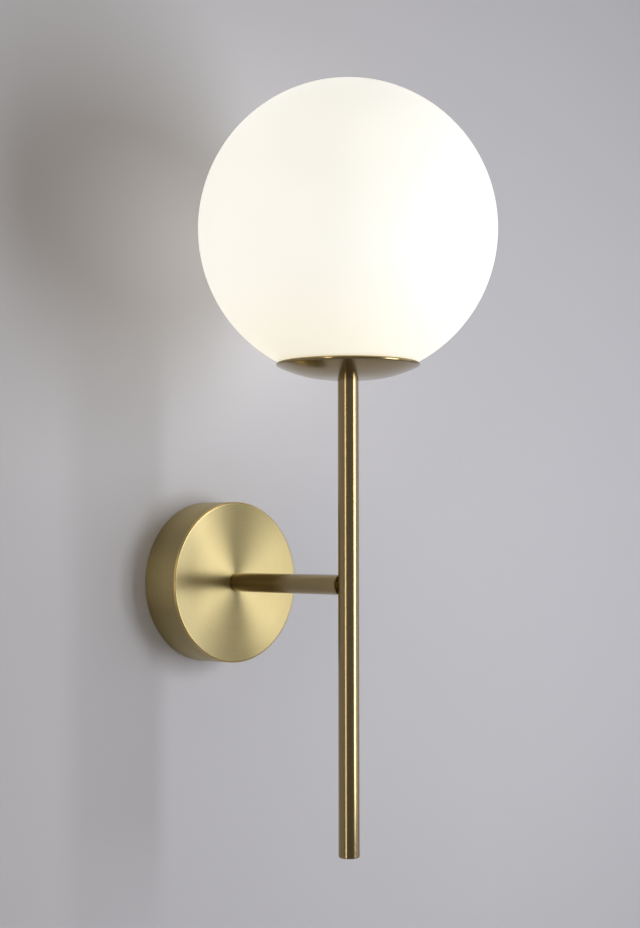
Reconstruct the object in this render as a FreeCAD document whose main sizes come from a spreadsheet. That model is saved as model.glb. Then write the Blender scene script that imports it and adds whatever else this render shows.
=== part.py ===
"""Globe wall sconce: a round canopy on the wall, a level arm, an upright rod and an opal glass globe.

Frame: the wall is the plane Y = 0 and the lamp stands out from it towards -Y. Z is up.
The origin is the centre of the canopy's rear rim. All sizes are in millimetres.
"""
import FreeCAD, Part
import math
import os
import types

import Sketcher

Vector = FreeCAD.Vector

doc = FreeCAD.newDocument("globe_wall_sconce")

# Driving sizes: name, value, what it is
SIZES = (
    # Globe
    ("globe_diameter", 200, "outside of the opal glass ball"),
    ("globe_height", 237, "centre of the ball above the arm's axis"),
    ("glass_thickness", 3, "wall of the blown glass"),
    ("mouth_diameter", 74, "ground opening at the bottom of the ball"),
    ("glass_gap", 0.4, "between the glass and the dish's lip"),
    # Rod
    ("rod_projection", 144, "rod's axis from the wall"),
    ("rod_diameter", 14, "outside of the upright tube"),
    ("rod_wall", 1, "wall of the upright tube"),
    ("rod_drop", 179, "rod's lower end below the arm's axis"),
    ("tube_chamfer", 0.6, "broken edge at a tube's free end"),
    ("end_plug_length", 8, "depth of the plug in the rod's lower end"),
    ("top_insert_length", 16, "threaded bush in the rod's upper end"),
    ("tee_length", 22, "brass slug in the rod where the arm meets it"),
    ("tee_bore", 6, "way up for the wires in the slug"),
    # Arm
    ("arm_diameter", 13.5, "outside of the level tube"),
    ("arm_wall", 1, "wall of the level tube"),
    ("base_insert_length", 16, "threaded bush at the arm's canopy end"),
    ("tip_insert_length", 16, "threaded bush at the arm's rod end"),
    # Canopy
    ("canopy_diameter", 114, "outside of the round backplate"),
    ("canopy_depth", 32, "from the wall to the face"),
    ("canopy_wall", 1.2, "sheet thickness"),
    ("canopy_bevel", 0.8, "turned bevel round the face"),
    ("backing_diameter", 50, "stiffening disc behind the face"),
    ("backing_thickness", 2, "stiffening disc"),
    # Hollow threaded rods, with their threads drawn plain
    ("nipple_diameter", 10, "nipple at the canopy and under the lampholder"),
    ("nipple_bore", 7, "wire way in a nipple"),
    ("arm_nipple_length", 28, "through the canopy's face into the arm"),
    ("rod_nipple_length", 26, "from the rod through the dish into the lampholder"),
    ("stud_diameter", 8, "hollow stud from the arm into the rod"),
    ("stud_bore", 5.5, "wire way in the stud"),
    ("stud_in_arm", 11, "stud inside the arm's bush"),
    ("nut_width", 17, "across the flats of a nipple nut"),
    ("nut_thickness", 3.2, "nipple nut"),
    ("lock_washer_diameter", 17, "toothed washer under a nipple nut"),
    ("lock_washer_thickness", 0.6, "toothed washer"),
    ("tooth_count", 10, "teeth of a toothed washer"),
    ("tooth_depth", 1.2, "notch between teeth"),
    ("tooth_gap", 1.2, "width of a notch"),
    ("bush_flange_diameter", 9.4, "plastic bush that keeps the wires off the nipple's end"),
    ("bush_flange_thickness", 1.4, "flange of the plastic bush"),
    ("bush_length", 5, "barrel of the plastic bush"),
    ("bush_wall", 0.8, "wall of the plastic bush"),
    ("thread_play", 0.05, "radial play of threads and pressed parts"),
    ("hole_play", 0.2, "radial play of a clearance hole"),
    # Dish
    ("dish_diameter", 96, "rim of the shallow cup under the globe"),
    ("dish_flat", 20, "diameter of the cup's flat bottom"),
    ("dish_wall", 0.8, "spun sheet"),
    ("rim_land", 1.5, "level top of the rim, across"),
    ("rim_round", 0.35, "broken outer edge of the rim"),
    ("spacer_diameter", 19, "washer between the dish and the clip plate"),
    ("spacer_thickness", 1.2, "washer between the dish and the clip plate"),
    ("clip_plate_diameter", 42, "disc that carries the spring clips"),
    ("clip_plate_thickness", 1, "disc that carries the spring clips"),
    ("clip_count", 3, "spring clips round the mouth"),
    ("clip_width", 8, "leaf of a spring clip"),
    ("clip_thickness", 0.5, "leaf of a spring clip"),
    ("clip_play", 0.3, "clip's crest inside the ground mouth"),
    ("clip_rise", 6, "leaf above its crest"),
    ("clip_lean", 3, "leaf's end inside its crest"),
    ("clip_foot", 8, "flat foot of a clip"),
    ("rivet_circle", 34, "circle of the clip rivets"),
    ("rivet_diameter", 2.4, "shank of a clip rivet"),
    ("rivet_head_diameter", 4, "head of a clip rivet"),
    ("rivet_head_height", 0.8, "formed head of a clip rivet"),
    ("rivet_tail_height", 0.3, "flush set end of a clip rivet"),
    # Lampholder
    ("holder_diameter", 38.5, "outside of the lampholder"),
    ("holder_wall", 2, "moulded wall"),
    ("holder_gap", 0.4, "between the dish's nut and the lampholder"),
    ("holder_neck_diameter", 15, "threaded neck of the lampholder's cap"),
    ("holder_neck_length", 6, "threaded neck of the lampholder's cap"),
    ("holder_shoulder", 10, "rounded shoulder of the cap"),
    ("holder_cap_length", 28, "whole cap"),
    ("holder_skirt_length", 25, "skirt above the cap"),
    ("holder_mouth_diameter", 28.6, "opening in the skirt's lip"),
    ("holder_lip", 2, "lip at the skirt's top"),
    ("core_thickness", 6, "ceramic core"),
    ("shell_bore", 27, "screw shell that takes the bulb's cap"),
    ("shell_wall", 0.4, "screw shell"),
    ("terminal_pitch", 18, "between the lampholder's two terminals"),
    ("terminal_width", 5, "square terminal of the lampholder"),
    ("terminal_length", 6, "height of a lampholder terminal"),
    ("spring_contact_rise", 1.6, "centre contact above the core"),
    ("spring_contact_width", 5, "centre contact"),
    ("spring_contact_thickness", 0.5, "centre contact"),
    ("spring_contact_length", 14, "centre contact"),
    # Bulb
    ("bulb_gap", 0.4, "between the centre contact and the bulb's tip"),
    ("bulb_diameter", 60, "widest part of the bulb"),
    ("bulb_length", 108, "whole bulb"),
    ("bulb_cap_diameter", 26.3, "over the cap's rounded threads"),
    ("bulb_cap_root_diameter", 24.9, "between the threads"),
    ("bulb_cap_length", 22, "screw cap"),
    ("thread_pitch", 3.6, "pitch of the bulb's thread"),
    ("bulb_insulator_length", 4, "insulator below the screw cap"),
    ("bulb_contact_diameter", 9.6, "centre contact of the bulb"),
    ("bulb_contact_length", 1, "centre contact of the bulb"),
    ("bulb_neck_diameter", 28, "housing where it leaves the cap"),
    ("bulb_wall", 1.6, "housing and diffuser"),
    ("board_hole", 3.2, "leads' way through the light board"),
    ("board_play", 0.3, "board inside the diffuser"),
    ("board_thickness", 1.6, "round light board"),
    ("chip_size", 3, "square light chip"),
    ("chip_height", 0.8, "square light chip"),
    ("chip_count", 8, "chips on the board"),
    ("chip_circle", 30, "circle of the chips"),
    ("driver_width", 20, "driver board in the housing"),
    ("driver_thickness", 1.6, "driver board in the housing"),
    # Wall bracket and wiring
    ("bracket_width", 24, "pressed strap"),
    ("bracket_thickness", 2, "pressed strap"),
    ("bracket_tab", 18, "height of the strap's turned ends"),
    ("bracket_play", 0.4, "between the strap's corners and the canopy"),
    ("slot_spacing", 76, "between the two wall slots"),
    ("slot_width", 5, "wall slot"),
    ("slot_length", 12, "wall slot, end to end"),
    ("cable_hole_diameter", 12, "supply cable's way through the strap"),
    ("cable_hole_height", 14, "supply cable's hole above the axis"),
    ("set_screw_diameter", 4, "screws that hold the canopy to the bracket"),
    ("set_screw_length", 8, "screws that hold the canopy to the bracket"),
    ("set_screw_depth", 12, "set screws from the wall"),
    ("set_screw_socket", 2, "across the flats of the socket"),
    ("set_screw_sink", 0.2, "screw's end below the canopy's side"),
    ("earth_screw_height", 27, "earth screw above the axis"),
    ("earth_screw_diameter", 4, "earth screw"),
    ("earth_head_diameter", 8, "head of the earth screw"),
    ("earth_head_height", 2.6, "head of the earth screw"),
    ("ring_terminal_diameter", 9.6, "ring of the earth wire's terminal"),
    ("ring_terminal_thickness", 0.8, "ring of the earth wire's terminal"),
    ("ring_barrel_length", 6, "crimped barrel of the earth terminal"),
    ("ring_barrel_diameter", 3.4, "crimped barrel of the earth terminal"),
    ("block_width", 32, "terminal block across its poles"),
    ("block_height", 17, "terminal block along its wires"),
    ("block_depth", 14, "terminal block from the strap"),
    ("block_drop", 18.5, "middle of the block below the axis"),
    ("block_pitch", 10, "between poles"),
    ("insert_diameter", 4.8, "brass insert in a pole"),
    ("insert_bore", 3, "wire way in an insert"),
    ("insert_length", 11, "brass insert in a pole"),
    ("clamp_screw_diameter", 2.5, "wire clamping screw"),
    ("clamp_screw_spacing", 6, "between a pole's two screws"),
    ("clamp_screw_sink", 1.5, "screw's head below the block's top"),
    ("block_screw_diameter", 3, "screw that holds the block"),
    ("block_screw_head", 5.2, "head of the block's screw"),
    ("wire_diameter", 2, "insulated wire"),
    ("wire_spacing", 2.1, "between the two wires in the tubes"),
    # Small play between flat pieces on different bodies
    ("seat_play", 0.05, "a wire's end from the metal that it meets"),
)


class Size:
    """A size of the part: the text that binds it to the sheet, and its present value."""

    def __init__(self, text, value):
        self.text = text
        self.value = float(value)

    def __add__(self, other):
        return worked_out(self, "+", other)

    def __radd__(self, other):
        return worked_out(other, "+", self)

    def __sub__(self, other):
        return worked_out(self, "-", other)

    def __rsub__(self, other):
        return worked_out(other, "-", self)

    def __mul__(self, other):
        return worked_out(self, "*", other)

    def __rmul__(self, other):
        return worked_out(other, "*", self)

    def __truediv__(self, other):
        return worked_out(self, "/", other)

    def __neg__(self):
        return worked_out(0, "-", self)


def as_size(number):
    """A plain number or a Size, as a Size."""
    return number if isinstance(number, Size) else Size(repr(float(number)), number)


def worked_out(left, sign, right):
    """The Size of left and right joined by one of + - * /."""
    left, right = as_size(left), as_size(right)
    value = {
        "+": left.value + right.value,
        "-": left.value - right.value,
        "*": left.value * right.value,
        "/": left.value / (right.value or 1.0),
    }[sign]
    return Size(f"({left.text} {sign} {right.text})", value)


def root(size):
    """Square root of a Size."""
    return Size(f"sqrt({size.text})", math.sqrt(size.value))


def arc_radius(reach, rise):
    """Radius of an arc that starts level and climbs by rise over reach."""
    return (reach * reach + rise * rise) / (2 * rise)


def write_sheet():
    """Put the driving sizes in a spreadsheet and return them as Size objects by name."""
    sheet = doc.addObject("Spreadsheet::Sheet", "Sizes")
    sizes = {}
    for row, (name, value, meaning) in enumerate(SIZES, start=1):
        sheet.set(f"A{row}", name)
        sheet.set(f"B{row}", str(value))
        sheet.set(f"C{row}", meaning)
        sheet.setAlias(f"B{row}", name)
        sizes[name] = Size(f"Sizes.{name}", value)
    doc.recompute()
    return types.SimpleNamespace(**sizes)


s = write_sheet()

# Sizes worked out from the driving ones

globe_radius = s.globe_diameter / 2
mouth_radius = s.mouth_diameter / 2
inner_glass_radius = globe_radius - s.glass_thickness
mouth_bottom = s.globe_height - root(globe_radius * globe_radius - mouth_radius * mouth_radius)
mouth_top = s.globe_height - root(inner_glass_radius * inner_glass_radius - mouth_radius * mouth_radius)

rod_radius = s.rod_diameter / 2
rod_bore = rod_radius - s.rod_wall
arm_radius = s.arm_diameter / 2
arm_bore = arm_radius - s.arm_wall
arm_end = s.rod_projection - rod_radius
nipple_radius = s.nipple_diameter / 2
nipple_way = s.nipple_bore / 2
nipple_hole = nipple_radius + s.hole_play
nipple_thread = nipple_radius + s.thread_play
stud_radius = s.stud_diameter / 2
stud_tip = s.rod_projection - s.tee_bore / 2 - s.hole_play

canopy_radius = s.canopy_diameter / 2
canopy_inside = canopy_radius - s.canopy_wall
face_back = s.canopy_depth - s.canopy_wall
backing_back = face_back - s.backing_thickness
arm_washer_back = backing_back - s.lock_washer_thickness
arm_nut_back = arm_washer_back - s.nut_thickness
nipple_inner_end = s.canopy_depth + s.base_insert_length - 2 - s.arm_nipple_length

# The dish completes the ball: its flat bottom is level with where the whole ball would end, and its rim
# stops just short of the glass. Each side of its wall is an arc that leaves the flat without a corner.
dish_radius = s.dish_diameter / 2
dish_flat_radius = s.dish_flat / 2
dish_lip = dish_radius - s.rim_land
glass_clear_radius = globe_radius + s.glass_gap
rim_height = s.globe_height - root(glass_clear_radius * glass_clear_radius - dish_lip * dish_lip)
dish_base = s.globe_height - globe_radius
dish_floor = dish_base + s.dish_wall
dish_curve_top = rim_height - s.rim_round
dish_outer_centre = dish_base + arc_radius(dish_radius - dish_flat_radius, dish_curve_top - dish_base)
dish_inner_centre = dish_floor + arc_radius(dish_lip - dish_flat_radius, rim_height - dish_floor)

spacer_top = dish_floor + s.spacer_thickness
clip_plate_top = spacer_top + s.clip_plate_thickness
dish_washer_top = clip_plate_top + s.lock_washer_thickness
dish_nut_top = dish_washer_top + s.nut_thickness

holder_base = dish_nut_top + s.holder_gap
holder_radius = s.holder_diameter / 2
holder_inside = holder_radius - s.holder_wall
holder_cap_top = holder_base + s.holder_cap_length
holder_top = holder_cap_top + s.holder_skirt_length
core_bottom = holder_cap_top - s.core_thickness
terminal_bottom = core_bottom - s.terminal_length
rod_nipple_top = holder_base + s.holder_neck_length + 1

bulb_tip = holder_cap_top + s.spring_contact_rise + s.bulb_gap
bulb_insulator_bottom = bulb_tip + s.bulb_contact_length
bulb_cap_bottom = bulb_insulator_bottom + s.bulb_insulator_length
bulb_cap_top = bulb_cap_bottom + s.bulb_cap_length
bulb_top = bulb_tip + s.bulb_length
bulb_radius = s.bulb_diameter / 2
bulb_centre = bulb_top - bulb_radius
board_height = bulb_centre - bulb_radius / 2
foot_drop = bulb_radius / 2
diffuser_foot = root(bulb_radius * bulb_radius - foot_drop * foot_drop)
bulb_inside = bulb_radius - s.bulb_wall
diffuser_inner_foot = root(bulb_inside * bulb_inside - foot_drop * foot_drop)

bracket_half = s.bracket_width / 2
bracket_corner = canopy_inside - s.bracket_play
bracket_reach = root(bracket_corner * bracket_corner - bracket_half * bracket_half)
pole_depth = s.bracket_thickness + s.block_depth / 2
block_top = s.bracket_thickness + s.block_depth


# Sketching and feature helpers

ROD = "rod"
WALL = "wall"


def new_body(label, frame):
    """A body in one of two frames.

    In the rod's frame local Z is the rod's axis and local height 0 is the arm's axis.
    In the wall's frame local Z points away from the wall and local Y is up.
    """
    body = doc.addObject("PartDesign::Body", label)
    body.Label = label
    body.AllowCompound = True
    if frame == ROD:
        body.Placement = FreeCAD.Placement(Vector(0, -s.rod_projection.value, 0), FreeCAD.Rotation())
        body.setExpression("Placement.Base.y", (-s.rod_projection).text)
    else:
        body.Placement = FreeCAD.Placement(Vector(), FreeCAD.Rotation(Vector(1, 0, 0), 90))
    return body


def new_sketch(body, plane, offset=None):
    """A sketch on one of the body's origin planes, lifted along the plane's normal by offset."""
    sketch = body.newObject("Sketcher::SketchObject", body.Label + "_sketch")
    support = [item for item in body.Origin.OriginFeatures if item.Role == plane][0]
    sketch.AttachmentSupport = (support, [""])
    sketch.MapMode = "FlatFace"
    if offset is not None:
        sketch.AttachmentOffset = FreeCAD.Placement(Vector(0, 0, offset.value), FreeCAD.Rotation())
        sketch.setExpression("AttachmentOffset.Base.z", offset.text)
    return sketch


def fix(sketch, kind, *where, size):
    """Add one dimension to a sketch and bind it to the sheet."""
    size = as_size(size)
    index = sketch.addConstraint(Sketcher.Constraint(kind, *where, size.value))
    sketch.setExpression(f"Constraints[{index}]", size.text)


def place(sketch, edge, point, x, y):
    """Bind one point of an edge to its place from the sketch's origin."""
    fix(sketch, "DistanceX", -1, 1, edge, point, size=x)
    fix(sketch, "DistanceY", -1, 1, edge, point, size=y)


def arc_edge(start, end, centre, clockwise):
    """An arc from start to end about centre, and the numbers of its start and end points."""
    radius = math.hypot(start[0] - centre[0], start[1] - centre[1])
    first = math.atan2(start[1] - centre[1], start[0] - centre[0])
    last = math.atan2(end[1] - centre[1], end[0] - centre[0])
    if clockwise:
        first, last = last, first
    circle = Part.Circle(Vector(*centre, 0), Vector(0, 0, 1), radius)
    points = (2, 1) if clockwise else (1, 2)
    return Part.ArcOfCircle(circle, first, last), points


def outline(sketch, *corners):
    """A closed outline of lines and arcs, each point bound to the sheet.

    A corner is (x, y) where a line arrives, or (x, y, centre x, centre y, "cw" or "ccw") for an arc.
    """
    corners = [
        tuple(item if isinstance(item, str) else as_size(item) for item in corner) for corner in corners
    ]
    spots = [(corner[0].value, corner[1].value) for corner in corners]
    edges = []
    for index, corner in enumerate(corners):
        start, end = spots[index - 1], spots[index]
        if len(corner) == 2:
            shape, points = Part.LineSegment(Vector(*start, 0), Vector(*end, 0)), (1, 2)
        else:
            centre = (corner[2].value, corner[3].value)
            shape, points = arc_edge(start, end, centre, corner[4] == "cw")
        edges.append((sketch.addGeometry(shape, False), points))
    for index, corner in enumerate(corners):
        edge, (start_point, end_point) = edges[index]
        next_edge, (next_start, _) = edges[(index + 1) % len(edges)]
        sketch.addConstraint(Sketcher.Constraint("Coincident", edge, end_point, next_edge, next_start))
        if len(corner) == 2:
            place(sketch, edge, end_point, corner[0], corner[1])
            continue
        place(sketch, edge, 3, corner[2], corner[3])
        reach = (corner[0].value - corner[2].value, corner[1].value - corner[3].value)
        if abs(reach[1]) > abs(reach[0]):
            fix(sketch, "DistanceX", -1, 1, edge, end_point, size=corner[0])
        else:
            fix(sketch, "DistanceY", -1, 1, edge, end_point, size=corner[1])


def box(sketch, left, bottom, right, top):
    """A rectangle between two corners."""
    outline(sketch, (left, bottom), (right, bottom), (right, top), (left, top))


def circle(sketch, x, y, radius):
    """A circle whose centre and radius are bound to the sheet."""
    radius = as_size(radius)
    x, y = as_size(x), as_size(y)
    edge = sketch.addGeometry(Part.Circle(Vector(x.value, y.value, 0), Vector(0, 0, 1), radius.value), False)
    fix(sketch, "Radius", edge, size=radius)
    place(sketch, edge, 3, x, y)


def slot(sketch, x, y, width, length):
    """An upright slot with round ends."""
    half = width / 2
    low, high = y - length / 2 + half, y + length / 2 - half
    outline(
        sketch,
        (x + half, high),
        (x - half, high, x, high, "ccw"),
        (x - half, low),
        (x + half, low, x, low, "ccw"),
    )


def hexagon(sketch, x, y, width):
    """A hexagon with the given width across its flats, two flats upright."""
    half = width / 2
    side = width / math.sqrt(3)
    outline(
        sketch,
        (x + half, y - side / 2),
        (x + half, y + side / 2),
        (x, y + side),
        (x - half, y + side / 2),
        (x - half, y - side / 2),
        (x, y - side),
    )


def revolve(body, sketch):
    """Turn a profile round the body's Z axis."""
    feature = body.newObject("PartDesign::Revolution", body.Label + "_turned")
    feature.Profile = sketch
    feature.ReferenceAxis = (sketch, ["V_Axis"])
    feature.Angle = 360
    return feature


def turned(label, frame, *corners):
    """A body turned from one profile of (radius, height) corners."""
    body = new_body(label, frame)
    sketch = new_sketch(body, "XZ_Plane")
    outline(sketch, *corners)
    revolve(body, sketch)
    return body


def ring(label, frame, bore, radius, low, high):
    """A plain ring, washer or tube."""
    return turned(label, frame, (bore, low), (radius, low), (radius, high), (bore, high))


def pad(body, sketch, length, both_sides=False):
    """Raise a sketch along its normal, or half the length to each side."""
    feature = body.newObject("PartDesign::Pad", body.Label + "_pad")
    feature.Profile = sketch
    if both_sides:
        feature.SideType = "Symmetric"
    feature.Length = as_size(length).value
    feature.setExpression("Length", as_size(length).text)
    return feature


def cut(body, sketch, length=None, forward=False):
    """Cut a sketch out of a body: forward is along the sketch's normal, and no length goes through all."""
    before = solid_volume(body)
    feature = body.newObject("PartDesign::Pocket", body.Label + "_cut")
    feature.Profile = sketch
    feature.Reversed = forward
    if length is None:
        feature.Type = "ThroughAll"
    else:
        feature.Length = length.value
        feature.setExpression("Length", length.text)
    if solid_volume(body) > before - 1e-6:
        raise RuntimeError(f"{body.Label}: a cut took nothing away")
    return feature


def solid_volume(body):
    """Volume of a body as built so far."""
    doc.recompute()
    return body.Shape.Volume


def repeat_round(body, feature, count, angle=360):
    """Repeat a feature round the body's Z axis."""
    pattern = body.newObject("PartDesign::PolarPattern", body.Label + "_pattern")
    pattern.Originals = [feature]
    axis = [item for item in body.Origin.OriginFeatures if item.Role == "Z_Axis"][0]
    pattern.Axis = (axis, [""])
    pattern.Angle = angle
    pattern.Occurrences = int(as_size(count).value)
    if isinstance(count, Size):
        pattern.setExpression("Occurrences", count.text)
    body.Tip = pattern
    return pattern


def signs():
    """Left and right, or down and up."""
    return (-1, 1)


# Canopy and bracket on the wall


def make_wall_bracket():
    """Pressed strap with turned ends: two wall slots, the cable's hole and tapped holes for screws."""
    body = new_body("wall_bracket", WALL)
    profile = new_sketch(body, "YZ_Plane")
    inner = bracket_reach - s.bracket_thickness
    outline(
        profile,
        (-bracket_reach, 0),
        (bracket_reach, 0),
        (bracket_reach, s.bracket_tab),
        (inner, s.bracket_tab),
        (inner, s.bracket_thickness),
        (-inner, s.bracket_thickness),
        (-inner, s.bracket_tab),
        (-bracket_reach, s.bracket_tab),
    )
    pad(body, profile, s.bracket_width, both_sides=True)
    holes = new_sketch(body, "XY_Plane")
    for side in signs():
        slot(holes, as_size(0), side * s.slot_spacing / 2, s.slot_width, s.slot_length)
    circle(holes, 0, s.cable_hole_height, s.cable_hole_diameter / 2)
    circle(holes, 0, s.earth_screw_height, s.earth_screw_diameter / 2 + s.thread_play)
    circle(holes, s.block_pitch / 2, -s.block_drop, s.block_screw_diameter / 2 + s.thread_play)
    cut(body, holes, s.bracket_thickness + 1, forward=True)
    tapped = new_sketch(body, "XZ_Plane", -bracket_reach - 1)
    circle(tapped, 0, s.set_screw_depth, s.set_screw_diameter / 2 + s.thread_play)
    cut(body, tapped, 2 * bracket_reach + 2, forward=True)


def make_canopy():
    """Spun cup with a bevelled face, a hole for the nipple and two holes for the set screws."""
    body = turned(
        "canopy",
        WALL,
        (nipple_hole, s.canopy_depth),
        (nipple_hole, face_back),
        (canopy_inside, face_back),
        (canopy_inside, 0),
        (canopy_radius, 0),
        (canopy_radius, s.canopy_depth - s.canopy_bevel),
        (canopy_radius - s.canopy_bevel, s.canopy_depth),
    )
    sides = new_sketch(body, "XZ_Plane", -canopy_radius - 1)
    circle(sides, 0, s.set_screw_depth, s.set_screw_diameter / 2 + s.hole_play)
    cut(body, sides, 2 * canopy_radius + 2, forward=True)


def make_canopy_set_screws():
    """Two socket set screws, above and below, from the bracket's ends into the canopy's side."""
    body = new_body("canopy_set_screws", WALL)
    outer_end = canopy_radius - s.set_screw_sink
    shank = new_sketch(body, "XZ_Plane", s.set_screw_length / 2 - outer_end)
    circle(shank, 0, s.set_screw_depth, s.set_screw_diameter / 2)
    hexagon(shank, as_size(0), s.set_screw_depth, s.set_screw_socket)
    socketed = pad(body, shank, s.set_screw_length / 2)
    socketed.Reversed = True
    tip = new_sketch(body, "XZ_Plane", s.set_screw_length - outer_end)
    circle(tip, 0, s.set_screw_depth, s.set_screw_diameter / 2)
    solid_end = pad(body, tip, s.set_screw_length / 2)
    solid_end.Reversed = True
    pattern = repeat_round(body, socketed, 2)
    pattern.Originals = [socketed, solid_end]


def make_backing_plate():
    """Steel disc that spreads the arm's load over the canopy's face."""
    ring("backing_plate", WALL, nipple_hole, s.backing_diameter / 2, backing_back, face_back)


def make_washer(label, frame, low):
    """Toothed lock washer: a ring with notches round its edge."""
    body = ring(label, frame, nipple_hole, s.lock_washer_diameter / 2, low, low + s.lock_washer_thickness)
    notch = new_sketch(body, "XY_Plane", low)
    edge = s.lock_washer_diameter / 2
    box(notch, edge - s.tooth_depth, -s.tooth_gap / 2, edge + s.tooth_depth, s.tooth_gap / 2)
    notched = cut(body, notch, s.lock_washer_thickness, forward=True)
    repeat_round(body, notched, s.tooth_count)


def make_nut(label, frame, low):
    """Thin hexagon nut on a nipple."""
    body = new_body(label, frame)
    flats = new_sketch(body, "XY_Plane", low)
    hexagon(flats, as_size(0), as_size(0), s.nut_width)
    circle(flats, 0, 0, nipple_thread)
    pad(body, flats, s.nut_thickness)


def make_nipple_bush():
    """Plastic bush in the nipple's inner end, so that its edge can't chafe the wires."""
    barrel = nipple_way - s.thread_play
    way = barrel - s.bush_wall
    flange_end = nipple_inner_end - s.bush_flange_thickness
    turned(
        "nipple_bush",
        WALL,
        (way, flange_end),
        (s.bush_flange_diameter / 2, flange_end),
        (s.bush_flange_diameter / 2, nipple_inner_end),
        (barrel, nipple_inner_end),
        (barrel, nipple_inner_end + s.bush_length),
        (way, nipple_inner_end + s.bush_length),
    )


# Arm


def make_arm():
    """The level tube, its two threaded bushes, the nipple and the stud that join it to its neighbours."""
    turned(
        "arm_tube",
        WALL,
        (arm_bore, s.canopy_depth),
        (arm_radius, s.canopy_depth),
        (arm_radius, arm_end - s.tube_chamfer),
        (arm_radius - s.tube_chamfer, arm_end),
        (arm_bore, arm_end),
    )
    bush_radius = arm_bore - s.thread_play
    ring("arm_base_insert", WALL, nipple_thread, bush_radius, s.canopy_depth,
         s.canopy_depth + s.base_insert_length)
    ring("arm_tip_insert", WALL, stud_radius + s.thread_play, bush_radius,
         arm_end - s.tip_insert_length, arm_end)
    ring("arm_nipple", WALL, nipple_way, nipple_radius, nipple_inner_end,
         nipple_inner_end + s.arm_nipple_length)
    ring("rod_stud", WALL, s.stud_bore / 2, stud_radius, arm_end - s.stud_in_arm, stud_tip)


# Rod


def make_rod_tube():
    """The upright tube, with a hole in its wall side for the stud."""
    body = turned(
        "rod_tube",
        ROD,
        (rod_bore, -s.rod_drop),
        (rod_radius - s.tube_chamfer, -s.rod_drop),
        (rod_radius, -s.rod_drop + s.tube_chamfer),
        (rod_radius, dish_base),
        (rod_bore, dish_base),
    )
    hole = new_sketch(body, "XZ_Plane")
    circle(hole, 0, 0, stud_radius + s.hole_play)
    cut(body, hole, rod_radius + 1)


def make_rod_tee():
    """Brass slug in the rod: the stud screws into its side, and the wires turn up through its bore."""
    body = new_body("rod_tee", ROD)
    slug = new_sketch(body, "XY_Plane", -s.tee_length / 2)
    slug_radius = rod_bore - s.thread_play
    circle(slug, 0, 0, slug_radius)
    pad(body, slug, s.tee_length)
    way = new_sketch(body, "XY_Plane", -s.tee_bore / 2)
    circle(way, 0, 0, s.tee_bore / 2)
    cut(body, way, s.tee_length, forward=True)
    thread = new_sketch(body, "XZ_Plane", -s.tee_bore / 3)
    circle(thread, 0, 0, stud_radius + s.thread_play)
    cut(body, thread, slug_radius)


def make_rod_ends():
    """The plug that closes the rod's foot, and the threaded bush and nipple at its head."""
    pressed = rod_bore - s.thread_play
    plug_top = s.end_plug_length - s.rod_drop
    turned(
        "rod_end_plug",
        ROD,
        (0, -s.rod_drop),
        (pressed, -s.rod_drop),
        (pressed, plug_top),
        (0, plug_top),
    )
    ring("rod_top_insert", ROD, nipple_thread, pressed, dish_base - s.top_insert_length, dish_base)
    ring("rod_nipple", ROD, nipple_way, nipple_radius, rod_nipple_top - s.rod_nipple_length, rod_nipple_top)


# Dish and globe


def make_dish():
    """Spun cup that follows the ball: a flat bottom, an arc to the rim and a broken outer edge."""
    turned(
        "dish",
        ROD,
        (nipple_hole, dish_base),
        (dish_flat_radius, dish_base),
        (dish_radius, dish_curve_top, dish_flat_radius, dish_outer_centre, "ccw"),
        (dish_radius - s.rim_round, rim_height),
        (dish_lip, rim_height),
        (dish_flat_radius, dish_floor, dish_flat_radius, dish_inner_centre, "cw"),
        (nipple_hole, dish_floor),
    )


def make_clip_plate():
    """Spacer washer and the steel disc that carries the clips."""
    ring("dish_spacer", ROD, nipple_hole, s.spacer_diameter / 2, dish_floor, spacer_top)
    body = ring("clip_plate", ROD, nipple_hole, s.clip_plate_diameter / 2, spacer_top, clip_plate_top)
    hole = new_sketch(body, "XY_Plane", spacer_top)
    circle(hole, s.rivet_circle / 2, 0, s.rivet_diameter / 2 + s.thread_play)
    drilled = cut(body, hole, s.clip_plate_thickness, forward=True)
    repeat_round(body, drilled, s.clip_count)


def make_spring_clips():
    """Bent leaves riveted to the plate, whose crests bear on the glass mouth from inside."""
    body = new_body("spring_clips", ROD)
    profile = new_sketch(body, "XZ_Plane")
    clear_radius = mouth_radius - s.clip_play
    crest = root(clear_radius * clear_radius - s.clip_width * s.clip_width / 4)
    crest_height = (mouth_bottom + mouth_top) / 2
    foot_start = s.rivet_circle / 2 - s.clip_foot / 2
    foot_end = s.rivet_circle / 2 + s.clip_foot / 2
    leaf = s.clip_thickness
    outline(
        profile,
        (foot_start, clip_plate_top),
        (foot_end, clip_plate_top),
        (crest, crest_height),
        (crest - s.clip_lean, crest_height + s.clip_rise),
        (crest - s.clip_lean - leaf, crest_height + s.clip_rise),
        (crest - 1.5 * leaf, crest_height + leaf / 2),
        (foot_end, clip_plate_top + leaf),
        (foot_start, clip_plate_top + leaf),
    )
    leaves = pad(body, profile, s.clip_width, both_sides=True)
    repeat_round(body, leaves, s.clip_count)
    hole = new_sketch(body, "XY_Plane", clip_plate_top)
    circle(hole, s.rivet_circle / 2, 0, s.rivet_diameter / 2 + s.thread_play)
    drilled = cut(body, hole, leaf, forward=True)
    repeat_round(body, drilled, s.clip_count)


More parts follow.
